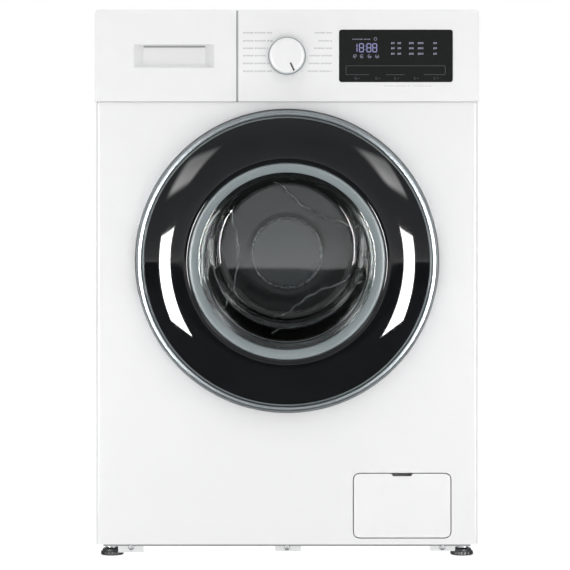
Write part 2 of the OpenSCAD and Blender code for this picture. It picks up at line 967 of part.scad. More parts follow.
// clearance for the fixed hinge ears, which reach into the door
module hinge_notch(y0) {
    block([-260, pivot_x + 26], [y0, front_y + 20], [axis_z - 52, axis_z + 52]);
}

// finger hold behind the ring on the side away from the hinge
module finger_notch(y0) {
    block([door_r - 19, 260], [y0, front_y + 20], [axis_z - 45, axis_z + 45]);
}

module door_trim_ring() {
    r = door_r;
    y = front_y;
    ri = r - trim_w;
    color("silver")
    difference() {
        turned([
            [r, y + 2], [r, y - 16], [r - 2, y - 20.5], [r - 4.5, y - 22], [r - 7, y - 21],
            [ri, y - 18], [ri, y - 12], [r - 3, y - 10], [r - 3, y + 2]
        ]);
        hinge_notch(y - 15.5);
        finger_notch(y - 10.5);
    }
}

// domed ring, foremost beside the window and falling back to its outer edge
module door_cover() {
    y = front_y;
    t = 3;
    crown_r = window_r + 6;
    centre_y = y - door_proud + dome_r;
    edge = asin((cover_r - crown_r) / dome_r);
    inner_edge = asin((cover_r - t - crown_r) / (dome_r - t));
    color([0.08, 0.09, 0.1])
        turned(concat(
            arc(crown_r, centre_y, dome_r, -90, edge - 90, 10),
            [[cover_r, y - 15.6], [cover_r - t, y - 15.6]],
            arc(crown_r, centre_y, dome_r - t, inner_edge - 90, -90, 10),
            [[window_r, centre_y - dome_r + t + 2], [window_r, centre_y - dome_r + 2.5],
             [window_r + 2, centre_y - dome_r + 0.6]]
        ));
}

module window_ring() {
    y = front_y;
    g = glass_r + 0.5;
    color("lightslategray")
        turned([
            [window_r - 0.3, y - 29], [window_r - 2.5, y - 30.5], [g, y - 20], [g, y - 12.2],
            [g + 3, y - 12.2], [g + 3.5, y - 17], [window_r - 2.5, y - 26.5],
            [window_r - 0.3, y - 26.5]
        ]);
}

module door_glass() {
    y = front_y;
    color([0.7, 0.8, 0.8, 0.4])
        turned([
            [148, y - 12], [glass_r - 0.5, y - 12], [131, y], [121, y + 60], [112, y + 78],
            [100, y + 85], [0, y + 88], [0, y + 93], [101, y + 90], [115, y + 83],
            [125, y + 64], [136, y + 2], [139, y - 6], [148, y - 6]
        ]);
}

module door_inner_frame() {
    y = front_y;
    r = door_r - 3.4;
    color("lightgray")
    difference() {
        union() {
            turned([
                [r, y - 9], [r, y + 4], [150, y + 4], [150, y - 12.4], [152.5, y - 12.4],
                [152.5, y + 1.5], [r - 2.6, y + 1.5], [r - 2.6, y - 9]
            ]);
            for (s = [-1, 1])
                block([hook_x - 8, hook_x + 8], [hook_y - 5, y + 2],
                      [axis_z + s * 7 - 3, axis_z + s * 7 + 3]);
            rod_z(2, hook_x, hook_y, [axis_z - 9, axis_z + 9]);
            block([pivot_x + 30, pivot_x + 62], [pivot_y + 1.6, y + 2],
                  [axis_z - 31, axis_z + 31]);
        }
        hinge_notch(y - 20);
        finger_notch(y - 20);
        block([hook_x - 9, hook_x + 14], [y, y + 5], [axis_z - 3.6, axis_z + 3.6]);
    }
}

// ---------------------------------------------------------------- feet

module foot(x, y) {
    color([0.1, 0.1, 0.1])
    translate([x, y, 0]) {
        cylinder(r = foot_r, h = 6);
        translate([0, 0, 6])
            cylinder(r = foot_r - 3, h = 4);
        cylinder(r = 5, h = 48);
    }
}

module foot_front_left() {
    foot(-foot_x, front_foot_y);
}

module foot_front_right() {
    foot(foot_x, front_foot_y);
}

module foot_rear_left() {
    foot(-foot_x, rear_foot_y);
}

module foot_rear_right() {
    foot(foot_x, rear_foot_y);
}

front_panel();
side_panels();
rear_panel();
rear_cover();
worktop();
top_crossbars();
base_frame();
cabinet_screws();
lock_nuts();
transit_caps();
cable_gland();
control_fascia();
fascia_carrier();
display_window();
control_board();
dispenser_housing();
inlet_valve();
fill_bellows();
flap_frame();
drain_pump();
drain_pipe();
sump_hose();
door_lock();
hinge_bracket();
gasket();
suspension_springs();
damper_cylinders();
tub_front();
tub_rear();
front_counterweights();
upper_counterweight();
drum_bearings();
shaft_seal();
gasket_clamp();
heater();
motor();
drive_belt();
damper_rods();
drum_shell();
drum_lifters();
drum_spider();
drum_shaft();
drum_pulley();
motor_pulley();
door_trim_ring();
door_cover();
window_ring();
door_glass();
door_inner_frame();
door_hinge_plate();
door_hook();
drawer_front();
drawer_tray();
knob();
service_flap();
filter_cap();
foot_front_left();
foot_front_right();
foot_rear_left();
foot_rear_right();
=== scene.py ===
"""Front load washing machine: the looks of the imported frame. Metres, +Z up, front at -Y."""

import json
import math

import bmesh
import bpy
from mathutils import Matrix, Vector


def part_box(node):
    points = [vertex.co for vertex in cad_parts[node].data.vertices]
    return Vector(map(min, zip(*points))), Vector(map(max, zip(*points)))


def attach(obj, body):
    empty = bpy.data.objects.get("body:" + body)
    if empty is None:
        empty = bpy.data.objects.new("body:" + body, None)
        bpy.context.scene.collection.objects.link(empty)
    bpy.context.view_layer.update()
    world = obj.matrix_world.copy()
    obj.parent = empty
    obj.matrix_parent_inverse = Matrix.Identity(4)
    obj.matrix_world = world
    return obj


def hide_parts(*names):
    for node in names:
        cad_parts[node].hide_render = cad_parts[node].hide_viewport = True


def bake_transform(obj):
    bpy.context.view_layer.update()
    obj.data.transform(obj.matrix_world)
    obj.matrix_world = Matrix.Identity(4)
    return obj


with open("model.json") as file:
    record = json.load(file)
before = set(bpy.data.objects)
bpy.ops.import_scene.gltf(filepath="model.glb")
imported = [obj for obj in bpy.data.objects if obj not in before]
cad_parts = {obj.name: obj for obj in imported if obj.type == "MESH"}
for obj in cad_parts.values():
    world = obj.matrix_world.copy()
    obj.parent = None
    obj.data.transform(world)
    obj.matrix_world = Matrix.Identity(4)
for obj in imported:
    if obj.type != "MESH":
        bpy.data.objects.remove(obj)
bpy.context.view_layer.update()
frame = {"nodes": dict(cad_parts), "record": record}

MM = 0.001
TAU = 2 * math.pi

# ---- places read from the frame


def centre_of(node):
    low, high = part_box(node)
    return (low + high) / 2


panel_low, panel_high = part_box("front_panel")
ring_low, ring_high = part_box("door_trim_ring")
FRONT = panel_low.y
AXIS_Z = (ring_low.z + ring_high.z) / 2
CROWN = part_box("door_cover")[0].y
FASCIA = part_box("control_fascia")[0].y
KNOB = centre_of("knob")


# ---- mesh helpers


def metres(points):
    """Pairs in millimetres as pairs in metres."""
    return [(a * MM, b * MM) for a, b in points]


def swung(out, side, a):
    """A point `out` from the axis and `side` across, seen along the angle a, as (x, z)."""
    return (out * math.cos(a) - side * math.sin(a), out * math.sin(a) + side * math.cos(a))


def rounded(points, radius, steps=4, closed=True, turned=False):
    """Each corner becomes a short curve; points of a turned outline on its axis stay."""
    result = []
    count = len(points)
    for i, p in enumerate(points):
        if (not closed and i in (0, count - 1)) or (turned and p[0] < 1e-6):
            result.append(p)
            continue
        p = Vector(p)
        before = Vector(points[i - 1]) - p
        after = Vector(points[(i + 1) % count]) - p
        start = p + before.normalized() * min(radius, before.length * 0.45)
        end = p + after.normalized() * min(radius, after.length * 0.45)
        for k in range(steps + 1):
            t = k / steps
            result.append(tuple(start * (1 - t) ** 2 + p * (2 * t * (1 - t)) + end * t * t))
    return result


def arc(cx, cy, radius, start, end, steps):
    """Points of an arc, angles in degrees."""
    angles = [math.radians(start + (end - start) * k / steps) for k in range(steps + 1)]
    return [(cx + radius * math.cos(a), cy + radius * math.sin(a)) for a in angles]


def shade(obj, angle):
    """Smooth faces with edges sharper than the angle kept crisp."""
    limit = math.radians(angle)
    mesh = bmesh.new()
    mesh.from_mesh(obj.data)
    for face in mesh.faces:
        face.smooth = True
    for edge in mesh.edges:
        sharp = len(edge.link_faces) != 2 or edge.calc_face_angle(0) > limit
        edge.smooth = not sharp
    mesh.to_mesh(obj.data)
    mesh.free()


def finish_piece(mesh, name, body, slot, replaces=(), angle=35, finish=None):
    """Turns a bmesh into an object on a body; its look is the slot's, or the finish given."""
    bmesh.ops.remove_doubles(mesh, verts=mesh.verts, dist=1e-6)
    bmesh.ops.recalc_face_normals(mesh, faces=mesh.faces)
    data = bpy.data.meshes.new(name)
    mesh.to_mesh(data)
    mesh.free()
    obj = bpy.data.objects.new(name, data)
    bpy.context.scene.collection.objects.link(obj)
    data.materials.append(finish or finishes[slot])
    shade(obj, angle)
    if body:
        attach(obj, body)
    if replaces:
        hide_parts(*replaces)
    return obj


def join_rings(mesh, rings, closed=True):
    """Faces between each ring of points and the next; closed joins the last to the first."""
    followers = rings[1:] + rings[:1] if closed else rings[1:]
    for a, b in zip(rings, followers):
        for i in range(len(a)):
            j = (i + 1) % len(a)
            mesh.faces.new((a[i], a[j], b[j], b[i]))


def add_lathe(mesh, profile, centre=(0, AXIS_Z), segments=192, limit=None):
    """Turns [radius, y] points about the axis along Y through centre = (x, z)."""
    rings = []
    for k in range(segments):
        a = TAU * k / segments
        ring = []
        for r, y in profile:
            x, z = r * math.cos(a), r * math.sin(a)
            if limit:
                y = limit(x, y, z)
            ring.append(mesh.verts.new((centre[0] + x, y, centre[1] + z)))
        rings.append(ring)
    join_rings(mesh, rings)


def lathe(name, profile, body, slot, replaces=(), radius=0.0, angle=35, finish=None, **options):
    """A turned piece from [radius, y] points in millimetres."""
    points = metres(profile)
    if radius:
        points = rounded(points, radius * MM, turned=True)
    mesh = bmesh.new()
    add_lathe(mesh, points, **options)
    return finish_piece(mesh, name, body, slot, replaces, angle, finish)


def add_turned_z(mesh, profile, x, y, segments, wobble=None):
    """Turns [radius, z] points about an upright axis at x, y; all in metres."""
    rings = []
    for k in range(segments):
        a = TAU * k / segments
        ring = []
        for i, (r, z) in enumerate(profile):
            grown = wobble(i, a, r) if wobble else r
            ring.append(mesh.verts.new((x + grown * math.cos(a), y + grown * math.sin(a), z)))
        rings.append(ring)
    join_rings(mesh, rings)


def add_tube(mesh, path, radius, sides=8):
    """A round bar along a path of points."""
    rings = []
    normal = None
    for i, p in enumerate(path):
        along = Vector(path[min(i + 1, len(path) - 1)]) - Vector(path[max(i - 1, 0)])
        along.normalize()
        if normal is None:
            normal = along.orthogonal().normalized()
        normal = (normal - along * normal.dot(along)).normalized()
        across = along.cross(normal)
        ring = []
        for k in range(sides):
            a = TAU * k / sides
            away = (normal * math.cos(a) + across * math.sin(a)) * radius
            ring.append(mesh.verts.new(Vector(p) + away))
        rings.append(ring)
    join_rings(mesh, rings, closed=False)
    mesh.faces.new(rings[0][::-1])
    mesh.faces.new(rings[-1])


def add_prism(mesh, outline, y0, y1):
    """A closed [x, z] outline with depth along Y."""
    front = [mesh.verts.new((x, y0, z)) for x, z in outline]
    back = [mesh.verts.new((x, y1, z)) for x, z in outline]
    mesh.faces.new(front)
    mesh.faces.new(back[::-1])
    for i in range(len(outline)):
        j = (i + 1) % len(outline)
        mesh.faces.new((front[j], front[i], back[i], back[j]))


def round_rect(x0, z0, x1, z1, r, steps=6):
    return (arc(x1 - r, z1 - r, r, 0, 90, steps) + arc(x0 + r, z1 - r, r, 90, 180, steps)
            + arc(x0 + r, z0 + r, r, 180, 270, steps) + arc(x1 - r, z0 + r, r, 270, 360, steps))


def cross_recess(mesh, x, z, turn, reach, half_width, y0, y1):
    """The two crossed bars of a screw's recess."""
    c = Vector((x, z))
    for a in (turn, turn + math.pi / 2):
        u = Vector((math.cos(a), math.sin(a))) * reach
        v = Vector((-math.sin(a), math.cos(a))) * half_width
        corners = [c + u + v, c - u + v, c - u - v, c + u - v]
        add_prism(mesh, [tuple(p) for p in corners], y0, y1)


def weld_and_bevel(obj, width):
    """Rounds the edges of a CAD node or a piece by a width in millimetres, with modifiers only."""
    weld = obj.modifiers.new("weld", "WELD")
    weld.merge_threshold = 1e-5
    bevel = obj.modifiers.new("bevel", "BEVEL")
    bevel.width = width * MM
    bevel.segments = 3
    bevel.limit_method = "ANGLE"
    bevel.angle_limit = math.radians(30)
    bevel.use_clamp_overlap = True
    bevel.harden_normals = True


# ---- materials


class Nodes:
    """Short calls for building one material's node tree."""

    def __init__(self, name):
        self.material = bpy.data.materials.new(name)
        self.material.use_nodes = True
        self.tree = self.material.node_tree
        self.shader = self.tree.nodes["Principled BSDF"]
        self.coords = self.add("ShaderNodeTexCoord")

    def add(self, kind, **values):
        node = self.tree.nodes.new(kind)
        for key, value in values.items():
            setattr(node, key, value)
        return node

    def link(self, source, target):
        self.tree.links.new(source, target)

    def set(self, **values):
        for key, value in values.items():
            self.shader.inputs[key.replace("_", " ")].default_value = value

    def stretched(self, scale):
        mapping = self.add("ShaderNodeMapping")
        mapping.inputs["Scale"].default_value = scale
        self.link(self.coords.outputs["Object"], mapping.inputs["Vector"])
        return mapping.outputs["Vector"]

    def noise(self, scale, detail=3.0, vector=None):
        node = self.add("ShaderNodeTexNoise")
        node.inputs["Scale"].default_value = scale
        node.inputs["Detail"].default_value = detail
        self.link(vector or self.coords.outputs["Object"], node.inputs["Vector"])
        return node.outputs["Fac"]

    def remap(self, value, low, high):
        """Spreads the middle of a noise over the range from low to high."""
        node = self.add("ShaderNodeMapRange")
        node.inputs["From Min"].default_value = 0.3
        node.inputs["From Max"].default_value = 0.7
        node.inputs["To Min"].default_value = low
        node.inputs["To Max"].default_value = high
        self.link(value, node.inputs["Value"])
        return node.outputs["Result"]

    def mix(self, factor, first, second):
        node = self.add("ShaderNodeMix", data_type="RGBA")
        node.inputs["A"].default_value = (*first, 1)
        node.inputs["B"].default_value = (*second, 1)
        self.link(factor, node.inputs["Factor"])
        return node.outputs["Result"]

    def bump(self, height, strength, distance):
        node = self.add("ShaderNodeBump")
        node.inputs["Strength"].default_value = strength
        node.inputs["Distance"].default_value = distance
        self.link(height, node.inputs["Height"])
        if self.shader.inputs["Normal"].is_linked:
            self.link(self.shader.inputs["Normal"].links[0].from_socket, node.inputs["Normal"])
        self.link(node.outputs["Normal"], self.shader.inputs["Normal"])


def surface(name, colour, shade_to, roughness, metallic=0.0, grain=900.0, bump=0.03,
            depth=0.0002, cloud=14.0, ior=1.5):
    """A finish with slow colour variation, uneven roughness and a fine grain."""
    n = Nodes(name)
    n.link(n.mix(n.remap(n.noise(cloud), 0, 1), colour, shade_to), n.shader.inputs["Base Color"])
    low, high = roughness
    n.link(n.remap(n.noise(cloud * 6, 5), low, high), n.shader.inputs["Roughness"])
    n.set(Metallic=metallic, IOR=ior)
    n.bump(n.noise(grain, 2), bump, depth)
    return n


def enamel():
    """White oven paint: faint orange peel and a very slight ripple of the sheet."""
    n = surface("enamel", (0.80, 0.80, 0.80), (0.795, 0.796, 0.798), (0.28, 0.34), grain=1400,
                bump=0.05, depth=0.0001, cloud=5)
    n.bump(n.noise(14, 1), 0.03, 0.0004)
    return n.material


def stainless():
    """Polished drum steel with a fine circular brush."""
    n = Nodes("stainless")
    lines = n.stretched((40, 1800, 40))
    n.link(n.mix(n.remap(n.noise(9), 0, 1), (0.42, 0.425, 0.43), (0.36, 0.365, 0.37)),
           n.shader.inputs["Base Color"])
    n.link(n.remap(n.noise(1, 3, lines), 0.16, 0.30), n.shader.inputs["Roughness"])
    n.set(Metallic=1.0)
    n.bump(n.noise(1, 3, lines), 0.05, 0.0002)
    n.bump(n.noise(18, 2), 0.06, 0.001)
    return n.material


def bowl_glass():
    """Pressed glass with the slow ripples of its mould."""
    n = Nodes("bowl_glass")
    n.link(n.mix(n.remap(n.noise(12), 0, 1), (0.93, 0.965, 0.96), (0.90, 0.945, 0.94)),
           n.shader.inputs["Base Color"])
    n.link(n.remap(n.noise(50, 3), 0.0, 0.008), n.shader.inputs["Roughness"])
    n.set(IOR=1.47, Transmission_Weight=1.0)
    n.bump(n.noise(9, 1, n.stretched((1, 0.4, 1))), 0.06, 0.001)
    return n.material


def concrete():
    n = surface("concrete", (0.30, 0.295, 0.285), (0.20, 0.198, 0.19), (0.8, 0.95), grain=160,
                bump=0.5, depth=0.0012, cloud=30)
    n.bump(n.noise(900, 3), 0.4, 0.0004)
    return n.material


def glow(name, colour, strength):
    """Lit display segments: an uneven glow behind the black window."""
    n = surface(name, (0.02, 0.02, 0.03), (0.03, 0.03, 0.04), (0.3, 0.4), cloud=400)
    n.link(n.mix(n.remap(n.noise(350), 0, 1), colour, [c * 0.85 for c in colour]),
           n.shader.inputs["Emission Color"])
    n.set(Emission_Strength=strength)
    return n.material


def floor_finish():
    n = surface("floor_finish", (0.80, 0.80, 0.80), (0.79, 0.79, 0.79), (0.7, 0.8),
                grain=200, bump=0.01, cloud=3)
    n.set(Emission_Color=(1, 1, 1, 1), Emission_Strength=0.52)
    return n.material


def plain(name, *looks, **details):
    return surface(name, *looks, **details).material


def rubber(name, colour, lighter):
    return plain(name, colour, lighter, (0.45, 0.65), grain=1900, bump=0.2, depth=0.0001, cloud=40)


finishes = {
    "painted_steel": enamel(),
    "zinc_sheet": plain("coated_sheet", (0.62, 0.63, 0.64), (0.55, 0.56, 0.575), (0.3, 0.46),
                        grain=1800, bump=0.05, cloud=22),
    "white_plastic": plain("white_plastic", (0.80, 0.80, 0.80), (0.785, 0.785, 0.788),
                           (0.32, 0.42), grain=3200, bump=0.06, depth=0.00008),
    "grey_plastic": plain("grey_plastic", (0.40, 0.415, 0.42), (0.36, 0.375, 0.38),
                          (0.38, 0.55), grain=2600, bump=0.12, depth=0.0001),
    "laminate": plain("laminate", (0.80, 0.80, 0.80), (0.782, 0.784, 0.788), (0.3, 0.42),
                      grain=1100, bump=0.10, depth=0.00012),
    "plated_steel": plain("plated_steel", (0.60, 0.61, 0.63), (0.50, 0.51, 0.54),
                          (0.24, 0.42), 1.0, grain=1500, bump=0.08, cloud=60),
    "stainless": stainless(),
    "trim_chrome": plain("trim_chrome", (0.70, 0.73, 0.75), (0.66, 0.69, 0.71), (0.24, 0.32),
                         1.0, grain=900, bump=0.003, depth=0.00005, cloud=30),
    "black_gloss": plain("black_gloss", (0.0045, 0.005, 0.0058), (0.006, 0.0066, 0.0075),
                         (0.035, 0.06), grain=60, bump=0.006, depth=0.0002),
    "window_grey": plain("window_grey", (0.26, 0.30, 0.31), (0.235, 0.275, 0.285),
                         (0.28, 0.38), grain=2200, bump=0.06, depth=0.0001),
    "clear_glass": bowl_glass(),
    "grey_rubber": rubber("grey_rubber", (0.12, 0.125, 0.13), (0.16, 0.165, 0.17)),
    "black_rubber": rubber("black_rubber", (0.016, 0.016, 0.017), (0.03, 0.03, 0.031)),
    "black_plastic": plain("black_plastic", (0.018, 0.018, 0.019), (0.028, 0.028, 0.03),
                           (0.4, 0.6), grain=2400, bump=0.18, depth=0.00012),
    "green_board": plain("circuit_board", (0.012, 0.09, 0.04), (0.02, 0.13, 0.06),
                         (0.3, 0.45), grain=700, bump=0.3, depth=0.0002, cloud=120),
    "cast_aluminium": plain("cast_aluminium", (0.52, 0.53, 0.54), (0.42, 0.43, 0.44),
                            (0.4, 0.6), 1.0, grain=900, bump=0.3, depth=0.0003, cloud=50),
    "concrete": concrete(),
    # Dark grey for the drawer's grip slot: painted shade of the undercut.
    "grip_slot_painted_shade": plain("grip_slot_painted_shade", (0.24, 0.24, 0.245), (0.27, 0.27, 0.275), (0.5, 0.6)),
}
display_finish = plain("display_gloss", (0.0065, 0.007, 0.007), (0.0075, 0.008, 0.008),
                       (0.10, 0.15), grain=300, bump=0.01, depth=0.0002, ior=1.35)
print_finish = plain("print_grey", (0.46, 0.46, 0.47), (0.52, 0.52, 0.53), (0.4, 0.5),
                     grain=4000, bump=0.05, depth=0.00005, cloud=300)
digit_finish = glow("digit_glow", (0.42, 0.42, 0.85), 0.55)
icon_finish = glow("icon_glow", (0.55, 0.56, 0.75), 0.42)
touch_finish = glow("touch_glow", (0.6, 0.6, 0.62), 0.14)
# Drum back and hub: steel darkened far below the drum's own stainless, as painted shade of the
# unlit inside of the drum.
drum_back_shade_finish = plain("drum_back_painted_shade", (0.075, 0.076, 0.077), (0.07, 0.071, 0.072),
                    (0.09, 0.13), 1.0, grain=1500, cloud=10)
hub_shade_finish = plain("drum_hub_painted_shade", (0.14, 0.142, 0.144), (0.13, 0.132, 0.134),
                   (0.09, 0.13), 1.0, grain=1500, cloud=10)
# Pale rough steel for the drum's welts: painted highlight lines on the edges of the pressed fields.
welt_highlight_finish = plain("drum_welt_painted_highlight", (0.86, 0.87, 0.88), (0.76, 0.77, 0.78), (0.40, 0.50),
                    0.4, grain=1500, bump=0.04)
ring_finish = plain("door_ring_steel", (0.31, 0.34, 0.355), (0.28, 0.31, 0.325),
                    (0.32, 0.38), 1.0, grain=1200, bump=0.003, depth=0.00005, cloud=30)
paddle_finish = plain("drum_paddle_steel", (0.30, 0.305, 0.31), (0.26, 0.265, 0.27),
                      (0.16, 0.24), 1.0, grain=1500, bump=0.04)
base_finish = plain("base_plastic", (0.70, 0.705, 0.705), (0.67, 0.675, 0.675), (0.4, 0.5),
                    grain=2600, bump=0.1, depth=0.0001)
screw_finish = plain("screw_steel", (0.30, 0.305, 0.31), (0.24, 0.245, 0.25), (0.5, 0.62),
                     0.6, grain=1800, bump=0.08, cloud=120)

# ---- CAD nodes that stay

# Rounding of the edges of the nodes that stay, in millimetres.
edge_width = {
    "worktop": 1.5, "base_frame": 1.0, "control_fascia": 1.2, "service_flap": 0.7,
    "drawer_front": 1.2, "drawer_tray": 1.0, "flap_frame": 0.6, "filter_cap": 1.2,
    "display_window": 0.35, "front_counterweights": 4, "upper_counterweight": 6,
    "door_inner_frame": 0.8, "door_hinge_plate": 0.8,
    "hinge_bracket": 0.8, "door_lock": 1.5, "door_hook": 0.6, "tub_front": 1.5,
    "tub_rear": 1.5, "drain_pump": 1.5, "dispenser_housing": 1.2, "inlet_valve": 1.5,
    "drum_spider": 2, "drum_pulley": 1, "lock_nuts": 0.8, "fascia_carrier": 0.6,
    "transit_caps": 0.8, "cable_gland": 0.8, "rear_panel": 0.4, "top_crossbars": 0.6,
    "damper_cylinders": 1, "front_panel": 0.25, "side_panels": 0.25,
}


def dress_nodes():
    """Gives every CAD node its finish, and rounds the edges of those that stay."""
    slot_of = {part["node"]: part["material_slot"] for part in frame["record"]["subparts"]}
    for node, obj in frame["nodes"].items():
        obj.data.materials.clear()
        obj.data.materials.append(finishes[slot_of[node]])
        for polygon in obj.data.polygons:
            polygon.material_index = 0
        if node in edge_width:
            weld_and_bevel(obj, edge_width[node])
    frame["nodes"]["display_window"].data.materials[0] = display_finish
    frame["nodes"]["base_frame"].data.materials[0] = base_finish


dress_nodes()

# ---- door


DOME, DOME_MIDDLE = 125, 158                        # arc of the cover's section, and its crest
HINGE_HALF, HINGE_SPACE = 52 * MM, 15.5 * MM        # the ring's gap at the hinge
FINGER_HALF, FINGER_SPACE = 45 * MM, 10.5 * MM      # and the one for the fingers


def dome(radius, start, end, steps):
    """Arc of the domed cover, as [radius, y] in millimetres."""
    return arc(DOME_MIDDLE, CROWN / MM + DOME, radius, start - 90, end - 90, steps)


def ring_gaps(x, y, z):
    """Cuts the ring's skirt away at the fixed hinge and at the finger hold."""
    if x < 0 and abs(z) < HINGE_HALF:
        return min(y, FRONT - HINGE_SPACE)
    if x > 0 and abs(z) < FINGER_HALF:
        return min(y, FRONT - FINGER_SPACE)
    return y


def door_ring():
    """Bright trim ring with a rounded crest and a fine groove inside it."""
    y = FRONT / MM
    face = [(233, y - 15.6), (232.8, y - 17.4), (231.8, y - 19.8), (230.2, y - 21.4),
            (228.4, y - 22), (227, y - 21.7), (226.3, y - 21.2), (225.6, y - 21.2),
            (224.6, y - 19.6), (224, y - 17.8)]
    skirt = [(224, y - 12), (230, y - 10), (230, y + 2), (233, y + 2)]
    points = rounded(metres(face), 0.7 * MM, 3, closed=False)
    mesh = bmesh.new()
    add_lathe(mesh, points + metres(skirt), segments=400, limit=ring_gaps)
    bmesh.ops.dissolve_degenerate(mesh, dist=1e-6, edges=mesh.edges)
    finish_piece(mesh, "door_ring_bright", "door", "trim_chrome", ["door_trim_ring"], angle=40,
                 finish=ring_finish)


def door_cover():
    """Domed gloss cover, 3 mm thick, and the thin grey line inside the ring."""
    crown = CROWN / MM
    edge = math.degrees(math.asin(63 / DOME))
    inner = math.degrees(math.asin(60 / (DOME - 3)))
    profile = dome(DOME, 0, edge, 24)
    profile += [(221, crown + 18.6), (220.6, crown + 19.4), (218, crown + 19.4)]
    profile += dome(DOME - 3, inner, 0, 12)
    profile += [(152.2, crown + 5), (152, crown + 2.6), (152.6, crown + 1.1), (154.4, crown + 0.3)]
    lathe("door_cover_gloss", profile, "door", "black_gloss",
          ["door_cover"], segments=240, angle=50)
    line = [(r, crown + d) for r, d in ((221.6, 17.2), (222.8, 17.2), (222.8, 19.2), (221.6, 19.2))]
    lathe("door_cover_line", line, "door", "window_grey", radius=0.3,
          segments=240)


def window_ring():
    y = CROWN / MM
    profile = [
        (151.7, y + 6), (151.6, y + 5.4), (149.8, y + 4.4), (146, y + 6.4), (141.5, y + 10.2),
        (137.6, y + 14.4), (137, y + 16), (137, y + 22.8), (140, y + 22.8), (140.5, y + 18),
        (149.5, y + 8.5), (151.7, y + 8.5),
    ]
    lathe("window_ring_satin", profile, "door", "window_grey",
          ["window_ring"], radius=1.2, segments=240)


def eased(t):
    """Smooth step from 0 to 1."""
    t = min(1, max(0, t))
    return t * t * (3 - 2 * t)


def bowl_lift(y):
    """How far the bowl's section rises: nothing at its mouth, 16 mm at its flat end."""
    return 16 * MM * eased((y / MM + 226) / 64)


def door_bowl():
    inner = [(148, -252), (136.2, -252), (133.5, -249), (130.6, -240), (126.4, -216),
             (121.2, -200), (116.2, -184), (114.6, -172), (113.2, -160), (109, -154.4),
             (103, -153.5)]
    outer = [(107, -148.5), (114, -150.3), (117.8, -158), (118.8, -172), (120.4, -184),
             (125.4, -200), (131, -216), (135.8, -238), (138.6, -246), (148, -246)]
    floor = [(r, -153.5) for r in range(96, -1, -12)]
    back = [(r, y + 5) for r, y in floor[::-1]]
    points = rounded(metres(inner + floor + back + outer), 5 * MM, turned=True)
    mesh = bmesh.new()
    add_lathe(mesh, points, segments=224)
    for vertex in mesh.verts:
        vertex.co.z += bowl_lift(vertex.co.y)
    finish_piece(mesh, "door_bowl", "door", "clear_glass",
                 ["door_glass"], angle=60)


def gasket():
    f = FRONT / MM + 6.5
    profile = [
        (134, f + 12), (150, f), (165, f), (165, f + 3.3), (157.6, f + 3.3), (157.6, f + 28),
        (172, f + 34), (172, f + 38), (152, f + 44), (152, f + 61), (147, f + 61), (147, f + 41),
        (163, f + 36), (152.5, f + 31), (152.5, f + 8), (136, f + 16),
    ]
    item = lathe("gasket_bellows", profile, None, "grey_rubber",
                 ["gasket"], radius=2.2, angle=60)
    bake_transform(item)


# ---- drum

DRUM_R = (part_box("drum_shell")[1].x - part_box("drum_shell")[0].x) / 2
DRUM_BACK = 150 * MM
THIRDS = [math.radians(degrees) for degrees in (60, 180, 300)]
FIELD_EDGE, FIELD_BOW, FIELD_DEPTH = 0.082, 3.2, 3.2 * MM      # pressed fields of the back


def field_edge(side):
    """How far from the axis a pressed field begins, `side` away from its middle line."""
    return FIELD_EDGE + FIELD_BOW * side * side


def on_drum(radius, turn, y):
    return (radius * math.cos(turn), y, AXIS_Z + radius * math.sin(turn))


def add_cell(mesh, radius, a0, a1, y0, y1, hole):
    """One square of sheet with an eight-sided hole; returns the hole's corners."""
    am, ym = (a0 + a1) / 2, (y0 + y1) / 2
    outer = [(a1, ym), (a1, y1), (am, y1), (a0, y1), (a0, ym), (a0, y0), (am, y0), (a1, y0)]
    edge = [mesh.verts.new(on_drum(radius, a, y)) for a, y in outer]
    rim = []
    for k in range(8):
        t = TAU * k / 8
        place = on_drum(radius, am + hole * math.cos(t) / radius, ym + hole * math.sin(t))
        rim.append(mesh.verts.new(place))
    for k in range(8):
        j = (k + 1) % 8
        mesh.faces.new((edge[k], edge[j], rim[j], rim[k]))
    return rim


def drum_barrel():
    """The perforated sheet, with real holes through its thickness."""
    mesh = bmesh.new()
    columns, rows, hole = 84, 15, 2.1 * MM
    y0, y1 = FRONT + 122 * MM, DRUM_BACK
    step = (y1 - y0) / rows
    for i in range(columns):
        a0, a1 = TAU * i / columns, TAU * (i + 1) / columns
        for j in range(rows):
            y = y0 + j * step
            outside = add_cell(mesh, DRUM_R, a0, a1, y, y + step, hole)
            inside = add_cell(mesh, DRUM_R - 1 * MM, a0, a1, y, y + step, hole)
            for k in range(8):
                n = (k + 1) % 8
                mesh.faces.new((outside[k], outside[n], inside[n], inside[k]))
    finish_piece(mesh, "drum_barrel", "drum", "stainless", ["drum_shell"], angle=60)


def pressed(x, y, z):
    """Three fields pressed towards the front, each with a bowed edge that faces the hub."""
    raised = 0
    for a in THIRDS:
        out, side = swung(x, z, -a)
        raised = max(raised, eased((out - field_edge(side)) / (2.8 * MM)))
    outer = min(1, max(0, (0.215 - math.hypot(x, z)) / 0.01))
    return y - FIELD_DEPTH * raised * outer


def drum_ends():
    r = DRUM_R / MM
    steps = [k for k in range(223, 150, -8)] + [150 - 1.6 * k for k in range(51)]
    back = [(r, 149), (r, 150)] + [(k, 150) for k in steps]
    back += [(61.2, 150), (60.4, 150.6), (58, 151.4), (56.8, 151.4), (57.8, 150.4), (61, 149)]
    back += [(k, 149) for k in steps[::-1]]
    # The back and the hub carry painted shade: their steel is darkened for the unlit inside of the
    # drum.
    lathe("drum_back", back, "drum", "stainless", finish=drum_back_shade_finish, limit=pressed, angle=50,
          segments=360)
    hub = [(0, 151.3), (56.8, 151.3), (57.2, 150.8), (56.8, 150.2), (0, 150.2)]
    lathe("drum_hub", hub, "drum", "stainless", finish=hub_shade_finish, segments=160)
    front = [
        (150, -138), (154, -141), (160, -138), (r - 12, -130), (r, -118), (r - 1, -117.6),
        (r - 12.6, -129), (160, -137), (154, -139.8), (151, -137),
    ]
    lathe("drum_front", front, "drum", "stainless", radius=1.5, angle=60)


